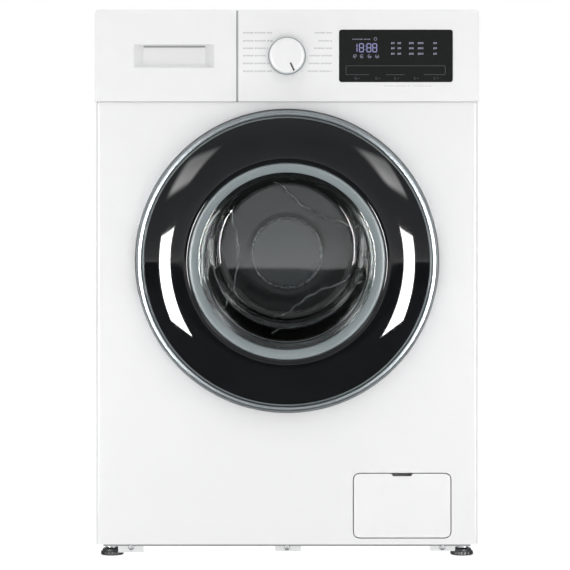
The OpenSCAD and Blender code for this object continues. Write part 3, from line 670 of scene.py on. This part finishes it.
def drum_welts():
    """Rolled edges where the pressed fields of the drum's back begin, in pale steel as painted
    highlights along those edges.
    """
    mesh = bmesh.new()
    for a in THIRDS:
        path = []
        for k in range(-24, 25):
            side = 4.1 * MM * k
            ripple = 1.1 * MM * math.sin(0.9 * k)
            x, z = swung(field_edge(side) + 1.2 * MM + ripple, side, a)
            path.append((x, DRUM_BACK - 2.7 * MM, AXIS_Z + z))
        add_tube(mesh, path, 1.7 * MM)
    finish_piece(mesh, "drum_back_welts", "drum", "stainless", angle=60, finish=welt_highlight_finish)
    lathe("drum_hub_bead", arc(59.4, 148.6, 2.2, 0, 337.5, 15), "drum", "stainless", angle=60,
          finish=finishes["trim_chrome"], segments=160)


def lifter_height(t):
    """Height of a lifter's crest above the drum wall along its length, 0 to 1."""
    rise = math.sin(math.pi * min(1, max(0, t))) ** 0.45
    return 8 * MM + 44 * MM * rise


def drum_lifters():
    """Three paddles with rounded crests and faint ridges across them."""
    steps, sides = 28, 18
    mesh = bmesh.new()
    y0, y1 = -114 * MM, 139 * MM
    wall = DRUM_R - 1.2 * MM
    for a in THIRDS:
        grid = []
        for i in range(steps + 1):
            t = i / steps
            crest = lifter_height(t)
            ring = []
            for k in range(sides + 1):
                s = -1 + 2 * k / sides
                across = 33 * MM * s * (0.9 + 0.1 * math.sin(math.pi * t))
                foot = math.sqrt(wall ** 2 - across ** 2)
                bell = (1 - abs(s) ** 2.2) ** 1.25
                ridge = 0.7 * MM * math.cos(TAU * 7 * t) * (1 - abs(s)) * math.sin(math.pi * t)
                x, z = swung(foot - (crest + ridge) * bell, across, a)
                ring.append(mesh.verts.new((x, y0 + (y1 - y0) * t, AXIS_Z + z)))
            grid.append(ring)
        for i in range(steps):
            for k in range(sides):
                mesh.faces.new((grid[i][k], grid[i + 1][k], grid[i + 1][k + 1], grid[i][k + 1]))
        for ring in (grid[0], grid[-1]):
            mesh.faces.new(ring)
    finish_piece(mesh, "drum_paddles", "drum", "stainless", ["drum_lifters"], angle=70,
                 finish=paddle_finish)


# ---- controls


def prisms(name, outlines, y0, y1, body, slot, finish=None):
    """Several flat shapes, [x, z] outlines in metres, as one thin piece."""
    mesh = bmesh.new()
    for outline in outlines:
        add_prism(mesh, outline, y0, y1)
    finish_piece(mesh, name, body, slot, finish=finish)


def bar(x0, z0, x1, z1):
    """A small upright rectangle with softened corners, given in millimetres."""
    return round_rect(x0 * MM, z0 * MM, x1 * MM, z1 * MM, 0.2 * MM, 2)


def words(x0, x1, z, height=2.2):
    """A row of short dashes that stands for a printed programme name."""
    lengths = (1.5, 1.1, 1.8, 0.9, 1.4, 1.1, 1.7)
    result = []
    x, i = x0, 0
    while x < x1 - 0.8:
        end = min(x1, x + lengths[i % 7])
        lift = 0.25 * (i % 3 - 1)
        result.append(bar(x, z - height / 2 + lift, end, z + height / 2))
        x, i = end + (2.0 if i % 9 == 8 else 0.55), i + 1
    return result


def programme_print():
    """Dashes in place of the programme names, a ring of dots round the knob, and two captions."""
    rows = (814, 801.5, 790, 778.5, 766.5, 754.5)
    left_ends = (-21, -20, -27, -30, -24, -22)
    right_starts = (41, 47, 40, 33, 32, 30)
    shapes = []
    for z, end, start in zip(rows, left_ends, right_starts):
        shapes += words(-68, end - 2, z)
        shapes += words(start + 2, 70, z)
    for k in range(12):
        turn = math.radians(30 * k + 15)
        x, z = 33.5 * math.sin(turn), 778 + 33.5 * math.cos(turn)
        shapes.append(metres(arc(x, z, 0.55, 0, 330, 11)))
    shapes += words(196, 226, 731.5, 1.0) + words(150, 190, 731.5, 1.0)
    prisms("programme_marks", shapes, FASCIA - 0.06 * MM, FASCIA + 0.05 * MM, "root",
           "grey_plastic", print_finish)


def knob():
    """Programme knob with its grey base ring and a dark pointer line."""
    x, z = KNOB.x, KNOB.z
    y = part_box("knob")[0].y / MM
    cap = [
        (0, y), (22.6, y), (25, y + 0.5), (26.6, y + 1.6), (27.3, y + 3.6), (27.5, y + 16.6),
        (26, y + 17.4), (24, y + 17.4), (24, y + 4), (3, y + 4), (3, y + 30), (0, y + 30),
    ]
    lathe("knob_cap", cap, "knob", "white_plastic", ["knob"],
          radius=0.8, centre=(x, z), segments=128)
    base = [(25, y + 17.4), (28.4, y + 17.4), (29.3, y + 18.2), (29.3, y + 21.4), (25, y + 21.4)]
    lathe("knob_base_ring", base, "knob", "trim_chrome", finish=finishes["window_grey"],
          radius=0.4, centre=(x, z), segments=128)
    turn = math.radians(155)
    axis = Vector((math.sin(turn), math.cos(turn)))
    side = Vector((-axis.y, axis.x)) * 1.4 * MM
    origin = Vector((x, z))
    outline = []
    for reach, sign in ((26, 1), (26, -1), (12.4, -1), (12.4, 1)):
        outline.append(tuple(origin + axis * reach * MM + side * sign))
    pointer = [rounded(outline, 0.5 * MM, 3)]
    prisms("knob_pointer", pointer, (y - 0.06) * MM, (y + 0.6) * MM, "knob",
           "black_plastic")


def segment(x0, z0, x1, z1, t):
    """One lit bar of a digit between two points, with pointed ends."""
    a, b = Vector((x0, z0)), Vector((x1, z1))
    along = (b - a).normalized() * t / 2
    across = Vector((-along.y, along.x))
    points = [a, a + along + across, b - along + across, b, b - along - across, a + along - across]
    return metres(points)


def digit(x, z, w, h, on="abcdefg"):
    """Seven-segment digit with its lower left corner at x, z."""
    m = z + h / 2
    ends = {
        "a": (x, z + h, x + w, z + h), "b": (x + w, m, x + w, z + h), "c": (x + w, z, x + w, m),
        "d": (x, z, x + w, z), "e": (x, z, x, m), "f": (x, m, x, z + h), "g": (x, m, x + w, m),
    }
    return [segment(*ends[name], 1.5) for name in on]


def frame_line(x0, z0, x1, z1, r, t):
    """A thin rounded outline; its lower edge is three strokes with gaps between them."""
    shapes = [bar(x0 + r, z1 - t, x1 - r, z1), bar(x0, z0 + r, x0 + t, z1 - r),
              bar(x1 - t, z0 + r, x1, z1 - r)]
    for left, right in ((x0 + r, x0 + 36), (x0 + 62, x0 + 91), (x0 + 121, x1 - r)):
        shapes.append(bar(left, z0, right, z0 + t))
    for cx, cz, start in ((x1 - r, z1 - r, 0), (x0 + r, z1 - r, 90), (x0 + r, z0 + r, 180),
                          (x1 - r, z0 + r, 270)):
        outer = arc(cx, cz, r, start, start + 90, 6)
        shapes.append(metres(outer + arc(cx, cz, r - t, start + 90, start, 6)))
    return shapes


def ring_mark(x, z, r, t, start=0, end=360):
    """An open round symbol."""
    outer = arc(x, z, r, start, end - 8, 20)
    return metres(outer + arc(x, z, r - t, end - 8, start, 20))


def display():
    """Digits, small symbols and touch marks behind the black window."""
    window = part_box("display_window")
    y0, y1 = window[0].y - 0.05 * MM, window[0].y + 0.1 * MM
    lit = digit(108.4, 784.4, 0, 12.6, "bc")
    for x in (112.2, 123.8, 132.8):
        lit += digit(x, 784.4, 6.2, 12.6)
    lit += [bar(120.5, z, 121.7, z + 1.2) for z in (787.4, 792.8)]
    prisms("display_digits", lit, y0, y1, "root", "black_gloss", digit_finish)
    marks = words(101.5, 129, 804, 1.3) + [ring_mark(137, 804.4, 2.6, 0.7)]
    for i, x in enumerate((105.5, 116, 128, 139.6)):
        marks.append(ring_mark(x, 777.6, 2.9, 0.8, 40 * i, 40 * i + 300))
        marks.append(bar(x - 1.4, 776.6, x + 1.6, 777.5))
    for z in (798, 790, 781.5):
        for x, width in ((164, 5.2), (174, 5.2), (193, 7.4), (207, 8.4), (229.5, 5.2)):
            marks += words(x - width / 2, x + width / 2, z, 2.9)
    prisms("display_marks", marks, y0, y1, "root", "black_gloss", icon_finish)
    touch = frame_line(91.2, 748.8, 245.4, 763, 1.8, 0.45)
    for i, x in enumerate((107, 139, 168, 198.5, 229.5)):
        touch.append(ring_mark(x, 743.6, 1.9, 0.45, 70, 380 - 20 * i))
        touch.append(bar(x + 3, 743.2, x + 5.4, 743.8))
    prisms("display_touch_marks", touch, y0, y1, "root", "black_gloss", touch_finish)


def drawer_details():
    """A dark grey strip in the slot at the upper end of the drawer's grip recess: painted shade of
    its undercut.
    """
    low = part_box("drawer_front")[0]
    x0, x1 = low.x + 75 * MM, low.x + 171 * MM
    z0, z1 = 0.7918, 0.7946
    y = low.y + 14.4 * MM
    shape = [round_rect(x0, z0, x1, z1, 1.2 * MM, 4)]
    prisms("drawer_finger_slot_shade", shape, y, y + 1.2 * MM, "drawer", "white_plastic",
           finishes["grip_slot_painted_shade"])


def rect(x0, z0, x1, z1):
    return [(x0, z0), (x1, z0), (x1, z1), (x0, z1)]


def seam_lips():
    """Lips behind the drawer's right edge and the seam under the fascia, and a dark strip under the
    panel's lower edge as painted shade of the seam above the base.
    """
    drawer_right, fascia_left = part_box("drawer_front")[1].x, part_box("control_fascia")[0].x
    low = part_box("control_fascia")[0].z
    lip = rect(drawer_right + 0.35 * MM, low + 1 * MM, fascia_left, 0.8485)
    prisms("fascia_left_lip", [lip], FASCIA + 2.2 * MM, FASCIA + 13 * MM, "root", "grey_plastic")
    # A dark strip along the foot of the front panel: painted shade in the seam between the panel
    # and the base's tabs.
    foot = panel_low.z
    item = rect(-0.285, foot - 2.4 * MM, 0.285, foot + 0.6 * MM)
    prisms("base_lip_shade_strip", [item], FRONT + 3.5 * MM, FRONT + 3.95 * MM, "root", "grey_plastic",
           finishes["grey_rubber"])
    x = panel_high.x - 3 * MM
    strip = rect(-x, low - 4 * MM, x, low - 0.2 * MM)
    prisms("panel_top_lip", [strip], FRONT + 1.3 * MM, FRONT + 2.2 * MM, "root", "white_plastic")


# ---- feet, screws


def grip(i, a, r):
    """Twelve shallow grip flutes round a foot's pad."""
    return r - 0.7 * MM * max(0, math.cos(12 * a)) if 2 <= i <= 4 else r


def feet():
    """Four levelling feet: a fluted pad under a threaded stem."""
    for side in ("front_left", "front_right", "rear_left", "rear_right"):
        node = "foot_" + side
        low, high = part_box(node)
        x, y = (low.x + high.x) / 2, (low.y + high.y) / 2
        pad = [(0, 0), (16.4, 0), (17.8, 0.9), (17.9, 3), (17.4, 5.6), (15.4, 6.4), (14.8, 9.2),
               (13.6, 9.9), (4.9, 10)]
        thread = []
        for k in range(24):
            z = 10.6 + 1.55 * k
            thread += [(4.45, z), (4.98, z + 0.75)]
        profile = pad + thread + [(4.4, 48), (0, 48)]
        mesh = bmesh.new()
        add_turned_z(mesh, metres(profile), x, y, 96, grip)
        finish_piece(mesh, node + "_pad", node, "black_plastic",
                     [node])


def screw_places():
    """Screws of the front tabs face -Y, those of the back face +Y."""
    low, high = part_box("cabinet_screws")
    back = high.y
    places = [(x, low.y, 15.5 * MM, -1) for x in (-0.242, 0, 0.241)]
    for x in (-0.284, 0.284):
        places += [(x, back - 1 * MM, z, 1) for z in (0.06, 0.26, 0.56, 0.76)]
    for k in range(6):
        a = math.radians(30 + 60 * k)
        places.append((0.1685 * math.cos(a), back, AXIS_Z + 0.1685 * math.sin(a), 1))
    return places


def screws():
    """Domed screw heads with crossed recesses, drawn as black bars: painted shade inside the
    recesses.
    """
    heads, recess_shade = bmesh.new(), bmesh.new()
    dome_line = ((0, 0), (2.4, 0.25), (3.9, 0.9), (4.4, 1.9), (4.4, 2.4), (0, 2.4))
    for x, y, z, way in screw_places():
        profile = [(r * MM, y - way * d * MM) for r, d in dome_line]
        add_lathe(heads, profile, (x, z), 32)
        cross_recess(recess_shade, x, z, 0.4, 2.3 * MM, 0.4 * MM, y - way * 0.32 * MM, y - way * 1 * MM)
    finish_piece(heads, "screw_heads", "root", "plated_steel", ["cabinet_screws"],
                 finish=screw_finish)
    # Black bars in the recesses: painted shade.
    finish_piece(recess_shade, "screw_recess_shade", "root", "plated_steel", finish=finishes["black_plastic"])


# ---- inside and back


def springs():
    """Two close coils with a hooked eye at each end."""
    low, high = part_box("suspension_springs")
    radius = 13.2 * MM
    mesh = bmesh.new()
    for x in (low.x + 15 * MM, high.x - 15 * MM):
        y = (low.y + high.y) / 2
        path = [(x, y, low.z + 1.6 * MM), (x, y + 2 * MM, low.z + 6 * MM)]
        turns, steps = 24, 20
        z0, z1 = low.z + 14 * MM, high.z - 14 * MM
        for k in range(turns * steps + 1):
            a = TAU * k / steps
            z = z0 + (z1 - z0) * k / (turns * steps)
            path.append((x + radius * math.cos(a), y + radius * math.sin(a), z))
        path += [(x, y + 2 * MM, high.z - 6 * MM), (x, y, high.z - 1.6 * MM)]
        add_tube(mesh, path, 1.5 * MM)
    coils = finish_piece(mesh, "spring_coils", None, "plated_steel",
                         ["suspension_springs"], angle=60)
    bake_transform(coils)


def bellows(node, name, ribs, depth, top_body, bottom_body):
    """A convoluted hose with plain cuffs in place of a plain tube."""
    low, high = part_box(node)
    x, y = (low.x + high.x) / 2, (low.y + high.y) / 2
    outer = (high.x - low.x) / 2
    wall = 2.2 * MM
    cuff = 12 * MM
    line = [(outer - 1 * MM, low.z), (outer - 1 * MM, low.z + cuff)]
    steps = ribs * 8
    for k in range(steps + 1):
        z = low.z + cuff + (high.z - low.z - 2 * cuff) * k / steps
        line.append((outer - depth * (0.5 + 0.5 * math.cos(TAU * ribs * k / steps)), z))
    line += [(outer - 1 * MM, high.z - cuff), (outer - 1 * MM, high.z)]
    profile = line + [(r - wall, z) for r, z in line[::-1]]
    mesh = bmesh.new()
    add_turned_z(mesh, profile, x, y, 64)
    hose = finish_piece(mesh, name, None, "black_rubber", [node],
                        angle=60)
    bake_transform(hose)
    clamps = ((name + "_upper_clamp", high.z - cuff / 2, top_body),
              (name + "_lower_clamp", low.z + cuff / 2, bottom_body))
    for title, z, body in clamps:
        band = bmesh.new()
        square = rect(outer - 1.1 * MM, z - 3 * MM, outer, z + 3 * MM)
        add_turned_z(band, rounded(square, 0.5 * MM, 2), x, y, 64)
        finish_piece(band, title, body, "plated_steel")


def belt_points(offset):
    """Outline of the belt, `offset` outside both pulleys' rims; [x, z] in metres."""
    big, small = centre_of("drum_pulley"), centre_of("motor_pulley")
    gap = Vector((small.x - big.x, small.z - big.z))
    lean = math.degrees(math.atan2(gap.y, gap.x))
    big_r, small_r = 150 * MM, 11 * MM
    spread = math.degrees(math.acos((big_r - small_r) / gap.length))
    wide = arc(big.x, big.z, big_r + offset, lean + spread, lean + 360 - spread, 120)
    tight = arc(small.x, small.z, small_r + offset, lean - spread, lean + spread, 24)
    return wide + tight


def belt():
    """Poly-V belt: smooth outside, five ribs inside."""
    low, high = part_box("drive_belt")
    section = [(3.4, 0), (3.4, 1)]
    for k in range(5):
        section += [(1.6, 1 - k / 5 - 0.02), (0.5, 1 - k / 5 - 0.1), (1.6, 1 - k / 5 - 0.18)]
    lines = [belt_points(offset * MM) for offset, t in section]
    mesh = bmesh.new()
    rings = []
    for i in range(len(lines[0])):
        ring = []
        for line, (offset, t) in zip(lines, section):
            y = low.y + (high.y - low.y) * t
            ring.append(mesh.verts.new((line[i][0], y, line[i][1])))
        rings.append(ring)
    join_rings(mesh, rings)
    finish_piece(mesh, "drive_belt_ribbed", "tub", "black_rubber",
                 ["drive_belt"], angle=25)


def motor():
    """Can motor: two cast end shields, a laminated stack and a bracket."""
    pulley = centre_of("motor_pulley")
    centre = (pulley.x, pulley.z)
    shields = bmesh.new()
    front = [(0, 40), (30, 40), (34, 43), (48, 44.5), (56, 50), (58, 58), (58, 76), (54, 76),
             (54, 60), (30, 48), (0, 48)]
    back = [(8.2, 180), (20, 180), (22, 178.6), (22, 173), (34, 171), (48, 169.5), (56, 164),
            (58, 156), (58, 138), (54, 138), (54, 154), (30, 164), (8.2, 166)]
    for profile in (front, back):
        points = rounded(metres(profile), 2 * MM, 3, turned=True)
        add_lathe(shields, points, centre, 96)
    finish_piece(shields, "motor_shields", "tub", "cast_aluminium",
                 ["motor"], angle=40)
    stack = bmesh.new()
    line = [(30, 76)]
    for k in range(30):
        y = 76 + 2.05 * k
        line += [(56.6, y), (56.6, y + 1.3), (55.6, y + 1.5), (55.6, y + 1.9)]
    line += [(56.6, 138), (30, 138)]
    add_lathe(stack, metres(line), centre, 96)
    finish_piece(stack, "motor_stack", "tub", "plated_steel", angle=25)
    bracket = bmesh.new()
    x0, x1 = centre[0] - 45 * MM, centre[0] + 45 * MM
    reach = 250.4 * MM
    top = [(x, AXIS_Z - math.sqrt(reach ** 2 - x ** 2)) for x in
           (x1, x1 - 22 * MM, x1 - 45 * MM, x0 + 22 * MM, x0)]
    seat = [(x0, centre[1] + 38 * MM)] + arc(centre[0], centre[1], 59 * MM, 140, 40, 12)
    seat += [(x1, centre[1] + 38 * MM)]
    for y in (60, 141):
        add_prism(bracket, seat + top, y * MM, (y + 9) * MM)
    plate = finish_piece(bracket, "motor_bracket", "tub", "cast_aluminium")
    weld_and_bevel(plate, 1.2)


def rear_cover():
    """Round service cover with pressed rings."""
    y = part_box("rear_cover")[1].y / MM
    profile = [
        (0, y), (34, y), (39, y - 1.4), (52, y - 1.4), (57, y), (100, y), (105, y - 1.4),
        (122, y - 1.4), (127, y), (151, y), (162, y - 6.8), (175, y - 6.8), (175, y - 8),
        (161, y - 8), (150, y - 1.2), (126, y - 1.2), (121, y - 2.6), (106, y - 2.6),
        (101, y - 1.2), (56, y - 1.2), (51, y - 2.6), (40, y - 2.6), (35, y - 1.2), (0, y - 1.2),
    ]
    lathe("rear_cover_pressed", profile, "root", "zinc_sheet",
          ["rear_cover"], radius=2, segments=160)


def door_fasteners():
    """Screw heads round the back of the door frame."""
    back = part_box("door_inner_frame")[1].y
    heads = bmesh.new()
    for k in range(8):
        a = math.radians(22.5 + 45 * k)
        x, z = 0.186 * math.cos(a), AXIS_Z + 0.186 * math.sin(a)
        profile = [(0, back + 1 * MM), (1.6 * MM, back + 1.3 * MM), (3.2 * MM, back + 1 * MM),
                   (3.9 * MM, back + 0.1 * MM), (3.9 * MM, back - 0.3 * MM), (0, back - 0.3 * MM)]
        add_lathe(heads, profile, (x, z), 24)
        cross_recess(heads, x, z, a, 2 * MM, 0.34 * MM, back + 1.1 * MM, back + 1.32 * MM)
    finish_piece(heads, "door_frame_screws", "door", "plated_steel")


def board_parts():
    """Chips and capacitors on the control board."""
    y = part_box("control_board")[0].y + 6.6 * MM
    chips = []
    for x, z, w, h in ((0.118, 0.768, 14, 14), (0.142, 0.785, 9, 6), (0.172, 0.77, 20, 8),
                       (0.2, 0.788, 6, 10), (0.03, 0.74, 12, 5), (0.225, 0.75, 16, 6)):
        chips.append(round_rect(x, z, x + w * MM, z + h * MM, 0.6 * MM, 2))
    prisms("board_chips", chips, y - 2.4 * MM, y + 0.2 * MM, "root", "black_plastic")
    cans = bmesh.new()
    for k in range(5):
        centre = (0.232 + 0.009 * (k % 3), 0.775 + 0.012 * (k // 3))
        profile = [(0, y - 3.6 * MM), (2.8 * MM, y - 3.6 * MM), (3.2 * MM, y - 3.2 * MM),
                   (3.2 * MM, y), (0, y)]
        add_lathe(cans, profile, centre, 24)
    finish_piece(cans, "board_capacitors", "root", "plated_steel")


door_ring()
door_cover()
window_ring()
door_bowl()
gasket()
drum_barrel()
drum_ends()
drum_welts()
drum_lifters()
programme_print()
knob()
display()
drawer_details()
seam_lips()
feet()
screws()
springs()
bellows("sump_hose", "sump_hose_ribbed", 7, 3.2 * MM, "tub", "root")
bellows("fill_bellows", "fill_bellows_ribbed", 3, 2.6 * MM, "root", "tub")
belt()
motor()
rear_cover()
door_fasteners()
board_parts()

# ---- camera

SPAN = 884 * MM                         # width of the front plane that the view takes in
AIM_X, AIM_Z = -3.102 * MM, 0.423       # middle of the view on the front plane
DISTANCE = 3.7
EYE_Z = 0.59
SENSOR = 36


def camera():
    data = bpy.data.cameras.new("camera")
    eye = bpy.data.objects.new("camera", data)
    bpy.context.scene.collection.objects.link(eye)
    data.sensor_width = SENSOR
    data.lens = SENSOR * DISTANCE / SPAN
    data.shift_x = AIM_X / SPAN
    data.shift_y = (AIM_Z - EYE_Z) / SPAN
    eye.location = (0, FRONT - DISTANCE, EYE_Z)
    eye.rotation_euler = (math.radians(90), 0, 0)
    bpy.context.scene.camera = eye


# ---- stage and light


def stage():
    """Pale floor; the gloss of the door mirrors the sky instead of it."""
    mesh = bmesh.new()
    half = 5
    corners = [(-half, -half, 0), (half, -half, 0), (half, half, 0), (-half, half, 0)]
    mesh.faces.new([mesh.verts.new(c) for c in corners])
    data = bpy.data.meshes.new("floor")
    mesh.to_mesh(data)
    mesh.free()
    floor = bpy.data.objects.new("floor", data)
    data.materials.append(floor_finish())
    bpy.context.scene.collection.objects.link(floor)
    floor.visible_glossy = False
    floor.visible_transmission = False


def softbox(name, place, target, width, height, power, mirrored, lights_up=True):
    """An area light; `mirrored` says whether gloss shows it."""
    light = bpy.data.lights.new(name, "AREA")
    light.shape = "RECTANGLE"
    light.size, light.size_y = width, height
    light.energy = power
    obj = bpy.data.objects.new(name, light)
    bpy.context.scene.collection.objects.link(obj)
    obj.location = place
    obj.rotation_euler = (Vector(target) - Vector(place)).to_track_quat("-Z", "Y").to_euler()
    obj.visible_glossy = mirrored
    obj.visible_transmission = mirrored
    obj.visible_diffuse = lights_up
    return obj


def add_ramp(tree, value, stops, blue=1.0, blend="LINEAR"):
    """A grey ramp of (position, level) stops driven by a socket."""
    ramp = tree.nodes.new("ShaderNodeValToRGB")
    ramp.color_ramp.interpolation = blend
    elements = ramp.color_ramp.elements
    while len(elements) < len(stops):
        elements.new(0.5)
    for element, (position, level) in zip(elements, stops):
        element.position = position
        element.color = (level, level, level * blue, 1)
    tree.links.new(value, ramp.inputs["Fac"])
    return ramp.outputs["Color"]


def fade(light, across, up):
    """Lets a softbox fall off towards its sides; the stops run from one side to the other."""
    light.data.use_nodes = True
    tree = light.data.node_tree
    place = tree.nodes.new("ShaderNodeNewGeometry")
    split = tree.nodes.new("ShaderNodeSeparateXYZ")
    tree.links.new(place.outputs["Parametric"], split.inputs[0])
    product = tree.nodes.new("ShaderNodeMath")
    product.operation = "MULTIPLY"
    for socket, axis, stops in zip(product.inputs, "XY", (across, up)):
        tree.links.new(add_ramp(tree, split.outputs[axis], stops, blend="EASE"), socket)
    tree.links.new(product.outputs[0], tree.nodes["Emission"].inputs["Strength"])


def add_range(tree, value, low, high):
    """Brings a value between low and high to between 0 and 1."""
    node = tree.nodes.new("ShaderNodeMapRange")
    node.inputs["From Min"].default_value = low
    node.inputs["From Max"].default_value = high
    tree.links.new(value, node.inputs["Value"])
    return node.outputs["Result"]


def add_mix(tree, factor, first, second=None):
    """Mixes two colour sockets; without a second one it is white."""
    node = tree.nodes.new("ShaderNodeMix")
    node.data_type = "RGBA"
    tree.links.new(factor, node.inputs["Factor"])
    tree.links.new(first, node.inputs["A"])
    if second:
        tree.links.new(second, node.inputs["B"])
    else:
        node.inputs["B"].default_value = (1, 1, 1, 1)
    return node.outputs["Result"]


HORIZON = (-0.0386, -0.037)         # heights of a view's direction between which the room begins
DARK = [(0, 0.11), (0.39, 0.11), (0.43, 0.02)]
ROOM = [(0.4805, 1.5), (0.488, 0.8), (0.5, 0.6), (0.56, 0.42), (0.75, 0.34), (0.93, 0.45),
        (1, 1.3)]


def sky():
    """White behind the object; for everything else a bright room above a dark lower half."""
    world = bpy.data.worlds.new("world")
    bpy.context.scene.world = world
    world.use_nodes = True
    tree = world.node_tree
    coords = tree.nodes.new("ShaderNodeTexCoord")
    split = tree.nodes.new("ShaderNodeSeparateXYZ")
    path = tree.nodes.new("ShaderNodeLightPath")
    tree.links.new(coords.outputs["Generated"], split.inputs[0])
    up = split.outputs["Z"]
    height = add_range(tree, up, -1, 1)
    below = add_ramp(tree, height, DARK, 1.01)
    above = add_ramp(tree, height, ROOM, 1.01)
    room = add_mix(tree, add_range(tree, up, *HORIZON), below, above)
    seen = add_mix(tree, path.outputs["Is Camera Ray"], room)
    tree.links.new(seen, tree.nodes["Background"].inputs["Color"])


def lights():
    """Broad light that gloss doesn't show, and the strips and patches that it does."""
    softbox("key", (0, -2.6, 3.0), (0, 0, 0.5), 4.6, 3.0, 42, False)
    softbox("fill", (0, -3.6, 1.2), (0, 0, 0.6), 3.0, 1.4, 6, False)
    under = softbox("under", (0, 0, 0.016), (0, 0, 0), 0.56, 0.46, 0.35, False)
    under.visible_camera = False
    softbox("overhead", (0, 1.2, 4), (0, 1.2, 0), 8, 8, 88, False)
    for side in (-1, 1):
        strip = softbox("strip", (side * 1.34, -2.2, 0.14), (0, 0, 0.4), 0.66, 1.15, 165,
                        True, False)
        fade(strip, [(0, 0.8), (1, 1)], [(0, 1), (1, 0.65)])
        patch = softbox("patch", (side * 1.45, -1.9, 1.75), (0, 0, 0.45), 1.0, 1.0, 20,
                        True, False)
        fade(patch, [(0, 0), (0.3, 1), (0.8, 0.8), (1, 0)],
             [(0, 0), (0.2, 1), (0.7, 0.6), (1, 0)])


camera()
stage()
sky()
lights()
bpy.context.scene.view_settings.view_transform = "Standard"
